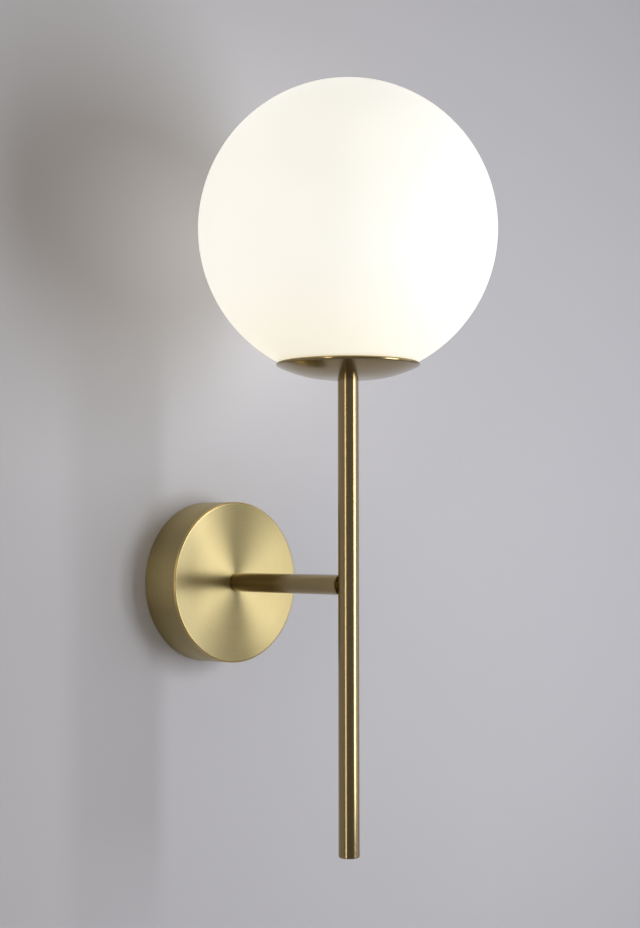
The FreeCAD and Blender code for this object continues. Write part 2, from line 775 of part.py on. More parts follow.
def make_clip_rivets():
    """One rivet for each clip, with a head above the leaf and a flat set end below the plate."""
    body = new_body("clip_rivets", ROD)
    tail = new_sketch(body, "XY_Plane", spacer_top - s.rivet_tail_height)
    circle(tail, s.rivet_circle / 2, 0, s.rivet_head_diameter / 2)
    features = [pad(body, tail, s.rivet_tail_height)]
    grip = s.clip_plate_thickness + s.clip_thickness
    shank = new_sketch(body, "XY_Plane", spacer_top)
    circle(shank, s.rivet_circle / 2, 0, s.rivet_diameter / 2)
    features.append(pad(body, shank, grip))
    head = new_sketch(body, "XY_Plane", spacer_top + grip)
    circle(head, s.rivet_circle / 2, 0, s.rivet_head_diameter / 2)
    features.append(pad(body, head, s.rivet_head_height))
    pattern = repeat_round(body, features[0], s.clip_count)
    pattern.Originals = features


def make_globe():
    """Blown opal ball with a ground mouth at its foot."""
    turned(
        "globe",
        ROD,
        (mouth_radius, mouth_bottom),
        (0, s.globe_height + globe_radius, 0, s.globe_height, "ccw"),
        (0, s.globe_height + inner_glass_radius),
        (mouth_radius, mouth_top, 0, s.globe_height, "cw"),
    )


# Lampholder


def make_lampholder():
    """Moulded cap and skirt round a ceramic core, with the screw shell inside."""
    neck = s.holder_neck_diameter / 2
    neck_top = holder_base + s.holder_neck_length
    shoulder_top = neck_top + s.holder_shoulder
    turned(
        "lampholder_cap",
        ROD,
        (nipple_thread, holder_base),
        (neck, holder_base),
        (neck, neck_top - s.holder_wall),
        (holder_radius, shoulder_top),
        (holder_radius, holder_cap_top),
        (holder_inside, holder_cap_top),
        (holder_inside, shoulder_top),
        (neck, neck_top),
        (nipple_thread, neck_top),
    )
    lip_bottom = holder_top - s.holder_lip
    mouth = s.holder_mouth_diameter / 2
    turned(
        "lampholder_skirt",
        ROD,
        (holder_inside, holder_cap_top),
        (holder_radius, holder_cap_top),
        (holder_radius, holder_top - 1),
        (holder_radius - 1, holder_top),
        (mouth, holder_top),
        (mouth, lip_bottom),
        (holder_inside, lip_bottom),
    )
    body = new_body("lampholder_core", ROD)
    disc = new_sketch(body, "XY_Plane", core_bottom)
    circle(disc, 0, 0, holder_inside - s.hole_play)
    pad(body, disc, s.core_thickness)
    shell_inside = s.shell_bore / 2
    ring(
        "lampholder_screw_shell",
        ROD,
        shell_inside,
        shell_inside + s.shell_wall,
        holder_cap_top,
        lip_bottom - s.hole_play,
    )


def make_lampholder_contacts():
    """Two square terminals under the core with their clamping screws, and the sprung centre contact."""
    half = s.terminal_width / 2
    way = s.wire_diameter / 2 + s.hole_play
    terminals = new_body("lampholder_terminals", ROD)
    blocks = new_sketch(terminals, "XY_Plane", terminal_bottom)
    for side in signs():
        middle = side * s.terminal_pitch / 2
        box(blocks, middle - half, -half, middle + half, half)
        circle(blocks, middle, 0, way)
    pad(terminals, blocks, s.terminal_length)
    screw_height = terminal_bottom + s.terminal_length / 2
    screw_radius = s.clamp_screw_diameter / 2
    bores = new_sketch(terminals, "XZ_Plane")
    screws = new_body("lampholder_terminal_screws", ROD)
    shanks = new_sketch(screws, "XZ_Plane", half + screw_radius)
    for side in signs():
        middle = side * s.terminal_pitch / 2
        circle(bores, middle, screw_height, screw_radius + s.thread_play)
        circle(shanks, middle, screw_height, screw_radius)
    cut(terminals, bores, half + 1, forward=True)
    shank = pad(screws, shanks, half + screw_radius - way)
    shank.Reversed = True
    leaf = new_body("lampholder_centre_contact", ROD)
    profile = new_sketch(leaf, "XZ_Plane")
    half_length = s.spring_contact_length / 2
    outline(
        profile,
        (-half_length, holder_cap_top),
        (-half_length / 2, holder_cap_top),
        (half_length / 3, holder_cap_top + s.spring_contact_rise - s.spring_contact_thickness),
        (half_length / 3, holder_cap_top + s.spring_contact_rise),
        (-half_length / 2, holder_cap_top + s.spring_contact_thickness),
        (-half_length, holder_cap_top + s.spring_contact_thickness),
    )
    pad(leaf, profile, s.spring_contact_width, both_sides=True)


# Bulb


def make_bulb():
    """A round-topped bulb: centre contact, insulator, ringed screw cap, housing and diffuser."""
    contact = s.bulb_contact_diameter / 2
    cap_root = s.bulb_cap_root_diameter / 2
    cap_crest = s.bulb_cap_diameter / 2
    neck = s.bulb_neck_diameter / 2
    turned(
        "bulb_contact",
        ROD,
        (0, bulb_tip),
        (contact / 2, bulb_tip),
        (contact, bulb_insulator_bottom),
        (0, bulb_insulator_bottom),
    )
    turned(
        "bulb_insulator",
        ROD,
        (0, bulb_insulator_bottom),
        (contact, bulb_insulator_bottom),
        (cap_root - 1, bulb_cap_bottom),
        (0, bulb_cap_bottom),
    )
    threads = []
    for turn in range(int(s.bulb_cap_length.value / s.thread_pitch.value) - 1):
        start = bulb_cap_bottom + s.thread_pitch * (turn + 0.5)
        threads.append((cap_root, start))
        threads.append((cap_crest, start + s.thread_pitch / 2))
    threads.append((cap_root, threads[-1][1] + s.thread_pitch / 2))
    turned(
        "bulb_cap",
        ROD,
        (cap_root - s.bulb_wall, bulb_cap_bottom),
        (cap_root - 1, bulb_cap_bottom),
        *threads,
        (cap_root, bulb_cap_top),
        (cap_root - s.bulb_wall, bulb_cap_top),
    )
    ledge = diffuser_foot - 2 * s.bulb_wall
    turned(
        "bulb_housing",
        ROD,
        (neck - 2 * s.bulb_wall, bulb_cap_top),
        (neck, bulb_cap_top),
        (neck, bulb_cap_top + 2),
        (diffuser_foot, board_height),
        (ledge, board_height),
        (ledge, board_height - s.bulb_wall),
        (neck - s.bulb_wall, bulb_cap_top + 2 + s.bulb_wall),
        (neck - 2 * s.bulb_wall, bulb_cap_top + 2),
    )
    turned(
        "bulb_diffuser",
        ROD,
        (diffuser_foot, board_height),
        (0, bulb_top, 0, bulb_centre, "ccw"),
        (0, bulb_centre + bulb_inside),
        (diffuser_inner_foot, board_height, 0, bulb_centre, "cw"),
    )


def make_light_board():
    """The board that lights the bulb: it lies on the housing's ledge, with chips above and a driver below."""
    board_top = board_height + s.board_thickness
    ring("light_board", ROD, s.board_hole / 2, diffuser_inner_foot - s.board_play, board_height, board_top)
    chips = new_body("light_chips", ROD)
    chip = new_sketch(chips, "XY_Plane", board_top)
    middle = s.chip_circle / 2
    half = s.chip_size / 2
    box(chip, middle - half, -half, middle + half, half)
    first = pad(chips, chip, s.chip_height)
    repeat_round(chips, first, s.chip_count)
    driver = new_body("light_driver", ROD)
    card = new_sketch(driver, "XZ_Plane")
    box(card, -s.driver_width / 2, bulb_cap_top + 4, s.driver_width / 2, board_height)
    pad(driver, card, s.driver_thickness, both_sides=True)


# Wiring inside the canopy


def make_terminal_block():
    """Three-pole block on the strap: moulded body, brass inserts, clamping screws and a fixing screw."""
    half_height = s.block_height / 2
    way = s.insert_diameter / 2 + s.thread_play
    clamp = s.clamp_screw_diameter / 2
    poles = [pole * s.block_pitch for pole in (-1, 0, 1)]
    rows = [side * s.clamp_screw_spacing / 2 - s.block_drop for side in signs()]

    block = new_body("terminal_block", WALL)
    base = new_sketch(block, "XY_Plane", s.bracket_thickness)
    box(base, -s.block_width / 2, -s.block_drop - half_height, s.block_width / 2, -s.block_drop + half_height)
    circle(base, s.block_pitch / 2, -s.block_drop, s.block_screw_diameter / 2 + s.hole_play)
    pad(block, base, s.block_depth)
    tunnels = new_sketch(block, "XZ_Plane", s.block_drop - half_height - 1)
    wells = new_sketch(block, "XY_Plane", pole_depth)

    inserts = new_body("terminal_inserts", WALL)
    tubes = new_sketch(inserts, "XZ_Plane", s.block_drop - s.insert_length / 2)
    screws = new_body("terminal_screws", WALL)
    shanks = new_sketch(screws, "XY_Plane", pole_depth + s.wire_diameter / 2 + s.seat_play)
    for pole in poles:
        circle(tunnels, pole, pole_depth, way)
        circle(tubes, pole, pole_depth, s.insert_diameter / 2)
        circle(tubes, pole, pole_depth, s.insert_bore / 2)
        for row in rows:
            circle(wells, pole, row, clamp + s.hole_play)
            circle(shanks, pole, row, clamp)
    cut(block, tunnels, s.block_height + 2, forward=True)
    cut(block, wells, s.block_depth, forward=True)
    pad(inserts, tubes, s.insert_length)
    tapped = new_sketch(inserts, "XY_Plane", pole_depth)
    for pole in poles:
        for row in rows:
            circle(tapped, pole, row, clamp + s.thread_play)
    cut(inserts, tapped, s.insert_diameter, forward=True)
    pad(screws, shanks, s.block_depth / 2 - s.wire_diameter / 2 - s.seat_play - s.clamp_screw_sink)

    fixing = new_body("terminal_block_screw", WALL)
    shank = new_sketch(fixing, "XY_Plane")
    circle(shank, s.block_pitch / 2, -s.block_drop, s.block_screw_diameter / 2)
    pad(fixing, shank, block_top)
    head = new_sketch(fixing, "XY_Plane", block_top)
    circle(head, s.block_pitch / 2, -s.block_drop, s.block_screw_head / 2)
    pad(fixing, head, s.block_screw_diameter / 2)


def make_earth_point():
    """The earth screw on the strap, and the ring terminal under its head."""
    ring_top = s.bracket_thickness + s.ring_terminal_thickness
    screw_radius = s.earth_screw_diameter / 2
    screw = new_body("earth_screw", WALL)
    shank = new_sketch(screw, "XY_Plane")
    circle(shank, 0, s.earth_screw_height, screw_radius)
    pad(screw, shank, ring_top)
    head = new_sketch(screw, "XY_Plane", ring_top)
    circle(head, 0, s.earth_screw_height, s.earth_head_diameter / 2)
    pad(screw, head, s.earth_head_height)
    drive = new_sketch(screw, "XY_Plane", ring_top + s.earth_head_height / 2)
    blade = s.earth_head_height / 6
    box(drive, -s.earth_head_diameter, s.earth_screw_height - blade, s.earth_head_diameter,
        s.earth_screw_height + blade)
    cut(screw, drive, s.earth_head_height, forward=True)

    terminal = new_body("earth_ring_terminal", WALL)
    washer = new_sketch(terminal, "XY_Plane", s.bracket_thickness)
    circle(washer, 0, s.earth_screw_height, s.ring_terminal_diameter / 2)
    circle(washer, 0, s.earth_screw_height, screw_radius + s.hole_play)
    pad(terminal, washer, s.ring_terminal_thickness)
    barrel = new_sketch(terminal, "YZ_Plane", barrel_start)
    circle(barrel, s.earth_screw_height, barrel_depth, s.ring_barrel_diameter / 2)
    pad(terminal, barrel, s.ring_barrel_length)
    socket = new_sketch(terminal, "YZ_Plane", barrel_start + 1)
    circle(socket, s.earth_screw_height, barrel_depth, s.wire_diameter / 2 + s.thread_play)
    cut(terminal, socket, s.ring_barrel_length, forward=True)


barrel_start = s.ring_terminal_diameter / 2 - 0.6
barrel_depth = s.bracket_thickness + s.ring_barrel_diameter / 2


def wire(label, points):
    """An insulated wire along straight runs joined by arcs, in the part's own frame."""
    points = [Vector(*(as_size(value).value for value in point)) for point in points]
    edges = []
    radii = []
    last = points[0]
    for before, corner, after in zip(points, points[1:], points[2:]):
        run_in, run_out = corner - before, after - corner
        turn = run_in.getAngle(run_out)
        tangent = 0.45 * min(run_in.Length, run_out.Length)
        radii.append(tangent / math.tan(turn / 2))
        towards, away = run_in.normalize(), run_out.normalize()
        enters, leaves = corner - towards * tangent, corner + away * tangent
        inward = (away - towards).normalize()
        middle = corner + inward * (radii[-1] / math.cos(turn / 2) - radii[-1])
        edges.append(Part.LineSegment(last, enters).toShape())
        edges.append(Part.Arc(enters, middle, leaves).toShape())
        last = leaves
    edges.append(Part.LineSegment(last, points[-1]).toShape())
    route = Part.Wire(edges)
    start = (points[1] - points[0]).normalize()
    radius = s.wire_diameter.value / 2
    section = Part.Wire([Part.makeCircle(radius, points[0], start)])
    solid = route.makePipeShell([section], True, False)
    expected = math.pi * radius**2 * route.Length
    if abs(solid.Volume - expected) > 0.01 * expected:
        raise RuntimeError(f"{label}: volume {solid.Volume:.1f}, section times length {expected:.1f}")
    feature = doc.addObject("Part::Feature", label)
    feature.Label = label
    feature.Shape = solid
    print(f"{label}: length {route.Length:.1f}, radii {', '.join(f'{radius:.1f}' for radius in radii)}")


def make_wires():
    """Live and neutral from the block through arm and rod to the lampholder, and the short earth wire."""
    block_end = -s.block_drop + s.insert_length / 2 - s.wire_diameter
    rise = s.rod_projection + s.tee_bore / 2 - s.wire_diameter * 0.7
    end_height = terminal_bottom + s.terminal_length / 2 - s.clamp_screw_diameter
    for label, side, pole in (("wire_live", -1, -1), ("wire_neutral", 1, 0)):
        across = side * s.wire_spacing / 2
        terminal = side * s.terminal_pitch / 2
        leave = [(pole * s.block_pitch, -pole_depth, block_end)]
        if pole:
            leave.append((pole * s.block_pitch, -pole_depth, 0))
        in_arm = [
            (across, -pole_depth, 0),
            (across, -s.canopy_depth * 1.6, 0.4),
            (across * 1.3, -s.canopy_depth * 2.8, -0.8),
            (across, -arm_end + s.stud_in_arm * 1.5, 0),
            (across, -rise, 0.1),
        ]
        in_rod = [
            (across, -rise, s.tee_length * 0.6),
            (across * 1.2, -rise + 0.4, s.tee_length * 1.7),
            (across * 1.5, -s.rod_projection - 0.6, rim_height * 0.5),
            (across * 1.1, -s.rod_projection + 0.6, rim_height * 0.76),
            (across, -s.rod_projection, rod_nipple_top + 0.5),
        ]
        up = [
            (terminal, -s.rod_projection, terminal_bottom - 2.5),
            (terminal, -s.rod_projection, end_height),
        ]
        wire(label, leave + in_arm + in_rod + up)
    outside = s.bracket_width / 2 + 5
    wire(
        "wire_earth",
        [
            (s.block_pitch, -pole_depth, block_end),
            (s.block_pitch, -pole_depth, -2),
            (outside, -pole_depth + 3, s.cable_hole_height - 2),
            (outside, -barrel_depth, s.earth_screw_height),
            (barrel_start + 1.2, -barrel_depth, s.earth_screw_height),
        ],
    )


def build():
    """Make every piece, check it and write its file."""
    make_wall_bracket()
    make_canopy()
    make_canopy_set_screws()
    make_backing_plate()
    make_washer("arm_lock_washer", WALL, arm_washer_back)
    make_nut("arm_nut", WALL, arm_nut_back)
    make_nipple_bush()
    make_arm()
    make_rod_tube()
    make_rod_tee()
    make_rod_ends()
    make_dish()
    make_clip_plate()
    make_spring_clips()
    make_clip_rivets()
    make_washer("dish_lock_washer", ROD, clip_plate_top)
    make_nut("dish_nut", ROD, dish_washer_top)
    make_globe()
    make_lampholder()
    make_lampholder_contacts()
    make_bulb()
    make_light_board()
    make_terminal_block()
    make_earth_point()
    make_wires()
    doc.recompute()


def check_document():
    """Stop if a feature failed or a piece has no sound shape."""
    for item in doc.Objects:
        if "Invalid" in item.State or "Error" in item.State:
            raise RuntimeError(f"{item.Label}: {item.State}")
    pieces = [item for item in doc.Objects if item.TypeId in ("PartDesign::Body", "Part::Feature")]
    for piece in pieces:
        if piece.Shape.isNull() or not piece.Shape.isValid() or not piece.Shape.Solids:
            raise RuntimeError(f"{piece.Label}: no sound shape")
    return pieces


build()
pieces = check_document()
os.makedirs("parts", exist_ok=True)
for piece in pieces:
    piece.Shape.exportStep(f"parts/{piece.Label}.step")
print(len(pieces), "pieces,", sum(len(piece.Shape.Solids) for piece in pieces), "solids")
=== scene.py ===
"""Globe wall sconce: the shown pieces, their finishes and the studio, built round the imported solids."""

from math import acos, asin, cos, hypot, pi, radians, sin, sqrt, tan

import bmesh
import bpy
from bpy.props import FloatProperty, FloatVectorProperty, PointerProperty
from mathutils import Euler, Matrix, Vector


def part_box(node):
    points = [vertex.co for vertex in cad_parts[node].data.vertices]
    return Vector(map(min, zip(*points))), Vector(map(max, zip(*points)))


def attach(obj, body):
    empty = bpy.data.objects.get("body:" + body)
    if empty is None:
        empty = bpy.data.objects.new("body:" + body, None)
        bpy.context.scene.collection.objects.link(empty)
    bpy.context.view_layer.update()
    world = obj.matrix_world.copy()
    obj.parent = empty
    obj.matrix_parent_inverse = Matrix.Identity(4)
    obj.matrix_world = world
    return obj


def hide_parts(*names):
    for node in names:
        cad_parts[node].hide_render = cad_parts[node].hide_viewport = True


bl_info = {
    "name": "Globe wall sconce",
    "version": (1, 0, 0),
    "blender": (4, 5, 0),
    "location": "3D View > Sidebar > Sconce",
    "description": "Makes the sconce's brass, glass and inner fittings round its solids",
    "category": "Object",
}

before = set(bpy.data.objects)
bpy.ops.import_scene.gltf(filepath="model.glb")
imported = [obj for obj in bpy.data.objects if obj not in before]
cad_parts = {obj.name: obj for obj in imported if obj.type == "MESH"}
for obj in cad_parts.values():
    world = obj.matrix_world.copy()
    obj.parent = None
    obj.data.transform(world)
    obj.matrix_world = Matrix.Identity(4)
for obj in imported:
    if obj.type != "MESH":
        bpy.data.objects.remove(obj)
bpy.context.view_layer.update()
MM = 0.001


def across(node, axis):
    """Width of a solid along an axis: 0, 1 or 2 for X, Y or Z."""
    low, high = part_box(node)
    return high[axis] - low[axis]


def low_end(node, axis=2):
    """Lowest place of a solid along an axis."""
    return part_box(node)[0][axis]


def high_end(node, axis=2):
    """Highest place of a solid along an axis."""
    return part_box(node)[1][axis]


def colour(code):
    """Linear red, green and blue of an sRGB hex colour."""
    shares = [int(code[start : start + 2], 16) / 255 for start in (0, 2, 4)]
    return tuple(part / 12.92 if part <= 0.04045 else ((part + 0.055) / 1.055) ** 2.4 for part in shares)


def length(name, description, default):
    """A length that the user can set."""
    kind = {"min": 0.05 * MM, "precision": 5, "unit": "LENGTH", "subtype": "DISTANCE"}
    return FloatProperty(name=name, description=description, default=default, **kind)


def power(name, description, default):
    """A lamp's power that the user can set."""
    return FloatProperty(name=name, description=description, default=default, min=0, unit="POWER")


def tint(name, description, code):
    """A colour that the user can set."""
    kind = {"size": 3, "min": 0, "max": 1, "subtype": "COLOR"}
    return FloatVectorProperty(name=name, description=description, default=colour(code), **kind)


def bearing(name, description, degrees):
    """An angle that the user can set."""
    return FloatProperty(name=name, description=description, default=radians(degrees), subtype="ANGLE")


# Sizes and colours


class SconceSizes(bpy.types.PropertyGroup):
    """Sizes of the shown pieces; those that follow a solid take its size."""

    globe_diameter: length("Globe", "Outside of the opal ball", across("globe", 0))
    glass_thickness: length("Glass", "Wall of the opal ball", 3 * MM)
    mouth_diameter: length("Mouth", "Ground opening at the ball's foot", 74 * MM)
    dish_diameter: length("Dish", "Rim of the cup under the ball", across("dish", 0))
    dish_flat: length("Dish flat", "Flat bottom of the cup", 20 * MM)
    dish_sheet: length("Dish sheet", "Spun sheet of the cup", 0.8 * MM)
    rim_bead: length("Rim bead", "Rolled edge of the cup", 2.4 * MM)
    rod_diameter: length("Rod", "Upright tube", across("rod_tube", 0))
    arm_diameter: length("Arm", "Level tube", across("arm_tube", 0))
    tube_wall: length("Tube wall", "Wall of rod and arm", 1 * MM)
    tube_chamfer: length("Tube chamfer", "Broken edge at a free end", 0.6 * MM)
    canopy_diameter: length("Canopy", "Round cover on the wall", across("canopy", 0))
    canopy_depth: length("Canopy depth", "From the wall to the face", across("canopy", 1))
    canopy_sheet: length("Canopy sheet", "Sheet of the round cover", 1.2 * MM)
    canopy_bevel: length("Canopy bevel", "Turned bevel round the face", 1.3 * MM)
    wire_diameter: length("Wire", "Insulated wire", 2 * MM)
    thread_pitch: length("Fine thread", "Pitch of the hollow threaded rods", 1 * MM)
    bulb_pitch: length("Bulb thread", "Pitch of the bulb's cap", 3.6 * MM)
    brush_line: length("Brushing", "Width of a brushed line as drawn", 0.55 * MM)


class SconceColours(bpy.types.PropertyGroup):
    """Colours of the finishes."""

    brushed_brass: tint("Brushed brass", "Lacquered satin brass", "B0A071")
    satin_brass: tint("Satin brass", "Lacquered tube and cup", "9D8B64")
    turned_brass: tint("Turned brass", "Bare brass from the lathe", "CDB377")
    opal_glass: tint("Opal glass", "White flashed glass", "D8D7D3")
    glow: tint("Glow", "Light that leaves the ball", "FFFDF2")
    glow_foot: tint("Glow at the foot", "Warmer light next to the dish", "FFF7DD")
    zinc: tint("Zinc", "Clear zinc plate on steel", "C4C8CC")
    spring_steel: tint("Spring steel", "Blued strip", "5D6570")
    phenolic: tint("Phenolic", "Black moulding", "26241F")
    polyamide: tint("Polyamide", "Natural white moulding", "E6E2D6")
    porcelain: tint("Porcelain", "Unglazed ceramic", "E8E3D8")
    nickel: tint("Nickel", "Nickel plate on brass", "CFC9BE")
    black_glass: tint("Black glass", "Pressed insulator", "0B0B0D")
    diffuser: tint("Diffuser", "Frosted polycarbonate", "EDEAE2")
    board: tint("Light board", "White solder mask", "E9ECEA")
    chip: tint("Light chip", "Phosphor gel", "F2D34A")
    live: tint("Live wire", "Brown sleeve", "5A3420")
    neutral: tint("Neutral wire", "Blue sleeve", "1E5AA8")
    earth: tint("Earth wire", "Green sleeve with a yellow stripe", "3F8A3A")
    earth_stripe: tint("Earth stripe", "Yellow stripe", "E6CF3A")
    wall: tint("Wall", "Painted plaster", "DCDADC")
    key_light: tint("Key light", "Cool daylight of the key", "F5F8FF")
    fill_light: tint("Fill light", "Warm room light of the other lamps", "FFEAD2")
    strip_light: tint("Strip light", "Mild white of the tall lamp at the left", "FFF4E6")
    floor: tint("Floor", "Pale floor", "BDBCBD")
    pale_air: tint("Pale air", "Background behind the wall", "BDBDBF")
    dim_air: tint("Dim air", "Room in front of the wall, as it is seen", "7F7E7D")
    dim_fill: tint("Dim fill", "Light that the room in front gives", "33322F")


class SconceStudio(bpy.types.PropertyGroup):
    """Lamps and camera."""

    key: power("Key", "Soft lamp at the right", 6.7)
    left_strip: power("Left strip", "Tall lamp at the left", 2.8)
    right_wash: power("Right wash", "Broad dim lamp beside the right wall", 2.9)
    overhead: power("Overhead", "Broad soft lamp above", 2.0)
    back_fill: power("Back fill", "Soft lamp behind the wall for the canopy's inside", 6.0)
    lens: FloatProperty(name="Lens", description="Focal length on a 36 mm side", default=65.95, min=10)
    camera_place: FloatVectorProperty(
        name="Camera", description="Place of the camera", default=(-0.8007, -0.9415, 0.0311), subtype="XYZ"
    )
    camera_turn: bearing("Turn", "Camera's turn about Z", -44.16)
    camera_tilt: bearing("Tilt", "Camera's tilt upwards", 2.50)
    camera_roll: bearing("Roll", "Camera's roll", 0.08)


# Places and widths shared by the pieces

ROD_AXIS = Vector((0, (low_end("rod_tube", 1) + high_end("rod_tube", 1)) / 2, 0))
WALL_AXIS = Vector((0, 0, 0))
NIPPLE_HOLE = 5.2 * MM
NUT_WIDTH = 17 * MM
CLOSE = 1e-6


def reach_of(node):
    """Radius of a round solid."""
    return across(node, 0) / 2


def span(node, axis="Z"):
    """Both ends of a solid, up Z or out from the wall for axis Y."""
    if axis == "Z":
        return low_end(node), high_end(node)
    return -high_end(node, 1), -low_end(node, 1)


# Finishes


def tone(name):
    """A finish's colour, as the user has set it."""
    return tuple(getattr(bpy.context.scene.sconce_colours, name))


def shade_of(rgb, share):
    """A colour made darker or lighter."""
    return tuple(min(1.0, part * share) for part in rgb)


def opaque(rgb):
    """A colour with its alpha."""
    return (*rgb, 1)


def two_tones(first, second):
    """Settings of a mix of two colours."""
    return {"data_type": "RGBA", 6: opaque(first), 7: opaque(second)}


def feed(node, links):
    """Link sources to a node's sockets."""
    for name, source in links.items():
        node.id_data.links.new(source, node.inputs[name])


def add_node(tree, kind, settings=None, links=None, output=0):
    """Add a node and return one of its outputs.

    Settings are its own values or its sockets' constants, and links are its sockets' sources.
    """
    node = tree.nodes.new("ShaderNode" + kind)
    for name, value in (settings or {}).items():
        if isinstance(name, str) and hasattr(node, name):
            setattr(node, name, value)
        else:
            node.inputs[name].default_value = value
    feed(node, links or {})
    return node.outputs[output] if node.outputs else node


def new_finish(name, settings):
    """A material with one shader: its tree, the shader, and the place on the piece from its origin."""
    finish = bpy.data.materials.new(name)
    finish.use_nodes = True
    tree = finish.node_tree
    tree.nodes.clear()
    surface = add_node(tree, "BsdfPrincipled", settings)
    add_node(tree, "OutputMaterial", links={"Surface": surface})
    return tree, surface.node, add_node(tree, "TexCoord", output="Object")


def grain(tree, place, size, detail=3.0):
    """Even noise with spots of a real size in metres."""
    settings = {"Scale": 1 / size, "Detail": detail, "Roughness": 0.55}
    return add_node(tree, "TexNoise", settings, {"Vector": place})


def lathe_lines(tree, place, axis, width):
    """Lines that run round an axis, as a brush or tool leaves them on a turning piece, without a seam."""
    flat, level = ((1, 1, 0), (0, 0, 1)) if axis == "Z" else ((1, 0, 1), (0, 1, 0))
    round_part = add_node(tree, "VectorMath", {"operation": "MULTIPLY", 1: flat}, {0: place})
    radius = add_node(tree, "VectorMath", {"operation": "LENGTH"}, {0: round_part}, output=1)
    turn = add_node(tree, "VectorMath", {"operation": "NORMALIZE"}, {0: round_part})
    spread = add_node(tree, "VectorMath", {"operation": "SCALE", "Scale": 2.2}, {0: turn})
    settings = {"operation": "MULTIPLY", 1: tuple(part / width for part in level)}
    height = add_node(tree, "VectorMath", settings, {0: place})
    where = add_node(tree, "VectorMath", {"operation": "ADD"}, {0: spread, 1: height})
    reach = add_node(tree, "Math", {"operation": "MULTIPLY", 1: 1 / width}, {0: radius})
    settings = {"noise_dimensions": "4D", "Scale": 1.0, "Detail": 2.5, "Roughness": 0.6}
    return add_node(tree, "TexNoise", settings, {"Vector": where, "W": reach})


def spread_value(tree, source, low, high):
    """Map noise onto a range."""
    settings = {"From Min": 0.3, "From Max": 0.7, "To Min": low, "To Max": high}
    return add_node(tree, "MapRange", settings, {"Value": source})


def spread_colour(tree, source, dark, light):
    """Map noise onto two near colours."""
    return add_node(tree, "Mix", two_tones(dark, light), {0: spread_value(tree, source, 0.0, 1.0)}, 2)


def paint(tree, shader, pattern, dark, light, low, high):
    """Let a pattern move a finish between two near colours and two near roughnesses."""
    gloss = spread_value(tree, pattern, low, high)
    feed(shader, {"Base Color": spread_colour(tree, pattern, dark, light), "Roughness": gloss})


def bump(tree, shader, height, depth, strength=1.0):
    """Raise and sink the surface by a real depth in metres."""
    bumped = add_node(tree, "Bump", {"Strength": strength, "Distance": depth}, {"Height": height})
    feed(shader, {"Normal": bumped})


def turned_metal(name, settings, width):
    """A metal finish with lines round the axis that its name ends in: its tree, shader, place and lines."""
    tree, shader, place = new_finish(name, {"Metallic": 1.0, "Anisotropic Rotation": 0.25, **settings})
    feed(shader, {"Tangent": add_node(tree, "Tangent", {"direction_type": "RADIAL", "axis": name[-1]})})
    return tree, shader, place, lathe_lines(tree, place, name[-1], width)


def brass(name, base, roughness, stretch, coat):
    """Brass with fine lines round the piece's axis, under a clear lacquer.

    The lines draw a lamp's reflection out across them: along a tube, and from a face's middle to its rim.
    """
    # Real brushing has lines about 0.1 mm wide; they are drawn wider, because that is too fine to show
    width = bpy.context.scene.sconce_sizes.brush_line
    settings = {"Anisotropic": stretch, "Coat Weight": coat, "Coat Roughness": 0.2}
    tree, shader, place, lines = turned_metal(name, settings, width)
    cloud = grain(tree, place, 28 * MM, 2.0)
    both = add_node(tree, "Mix", {"data_type": "FLOAT", 0: 0.3}, {2: lines, 3: cloud})
    paint(tree, shader, both, shade_of(base, 0.92), shade_of(base, 1.05), roughness * 0.88, roughness * 1.12)
    bump(tree, shader, lines, 0.002 * MM, 0.5)


def brushed_brass(name):
    """Face brushed while it turned: broad silky fans of light from the middle to the rim."""
    brass(name, tone("brushed_brass"), 0.37, 0.93, 0.2)


def satin_brass(name):
    """Tube and cup polished to satin while they turned: a clear narrow reflection of each lamp."""
    brass(name, tone("satin_brass"), 0.19, 0.25, 0.15)


def turned_brass(name):
    """Bare brass straight from the lathe: fine tool lines and a sharper gloss than brushed brass."""
    base = tone("turned_brass")
    # Tool feed of about 0.15 mm a turn, drawn at 0.3 mm so that it shows close up
    tree, shader, _, lines = turned_metal(name, {"Anisotropic": 0.5}, 0.3 * MM)
    paint(tree, shader, lines, shade_of(base, 0.9), base, 0.2, 0.34)
    bump(tree, shader, lines, 0.006 * MM)


def opal_glass(name):
    """Flashed opal glass, blown and lit from inside: even white, softly glossy, warmer next to the dish."""
    settings = {"Roughness": 0.42, "IOR": 1.5, "Specular IOR Level": 0.5, "Emission Strength": 0.67}
    tree, shader, place = new_finish(name, settings)
    height = add_node(tree, "SeparateXYZ", links={0: place}, output=2)
    radius = bpy.context.scene.sconce_sizes.globe_diameter / 2
    settings = {"From Min": -radius, "From Max": -radius * 0.25, "interpolation_type": "SMOOTHSTEP"}
    rise = add_node(tree, "MapRange", settings, {"Value": height})
    glow = add_node(tree, "Mix", two_tones(tone("glow_foot"), tone("glow")), {0: rise}, 2)
    # Blown glass differs in thickness over some centimetres, which hardly shows when it is lit
    cloud = grain(tree, place, 45 * MM, 1.5)
    links = {0: glow, "Scale": spread_value(tree, cloud, 0.985, 1.0)}
    even = add_node(tree, "VectorMath", {"operation": "SCALE"}, links)
    base = tone("opal_glass")
    white = spread_colour(tree, cloud, shade_of(base, 0.98), base)
    feed(shader, {"Emission Color": even, "Base Color": white})
    # Faint waves of blown glass, two hundredths of a millimetre deep
    bump(tree, shader, grain(tree, place, 18 * MM, 1.0), 0.02 * MM, 0.3)


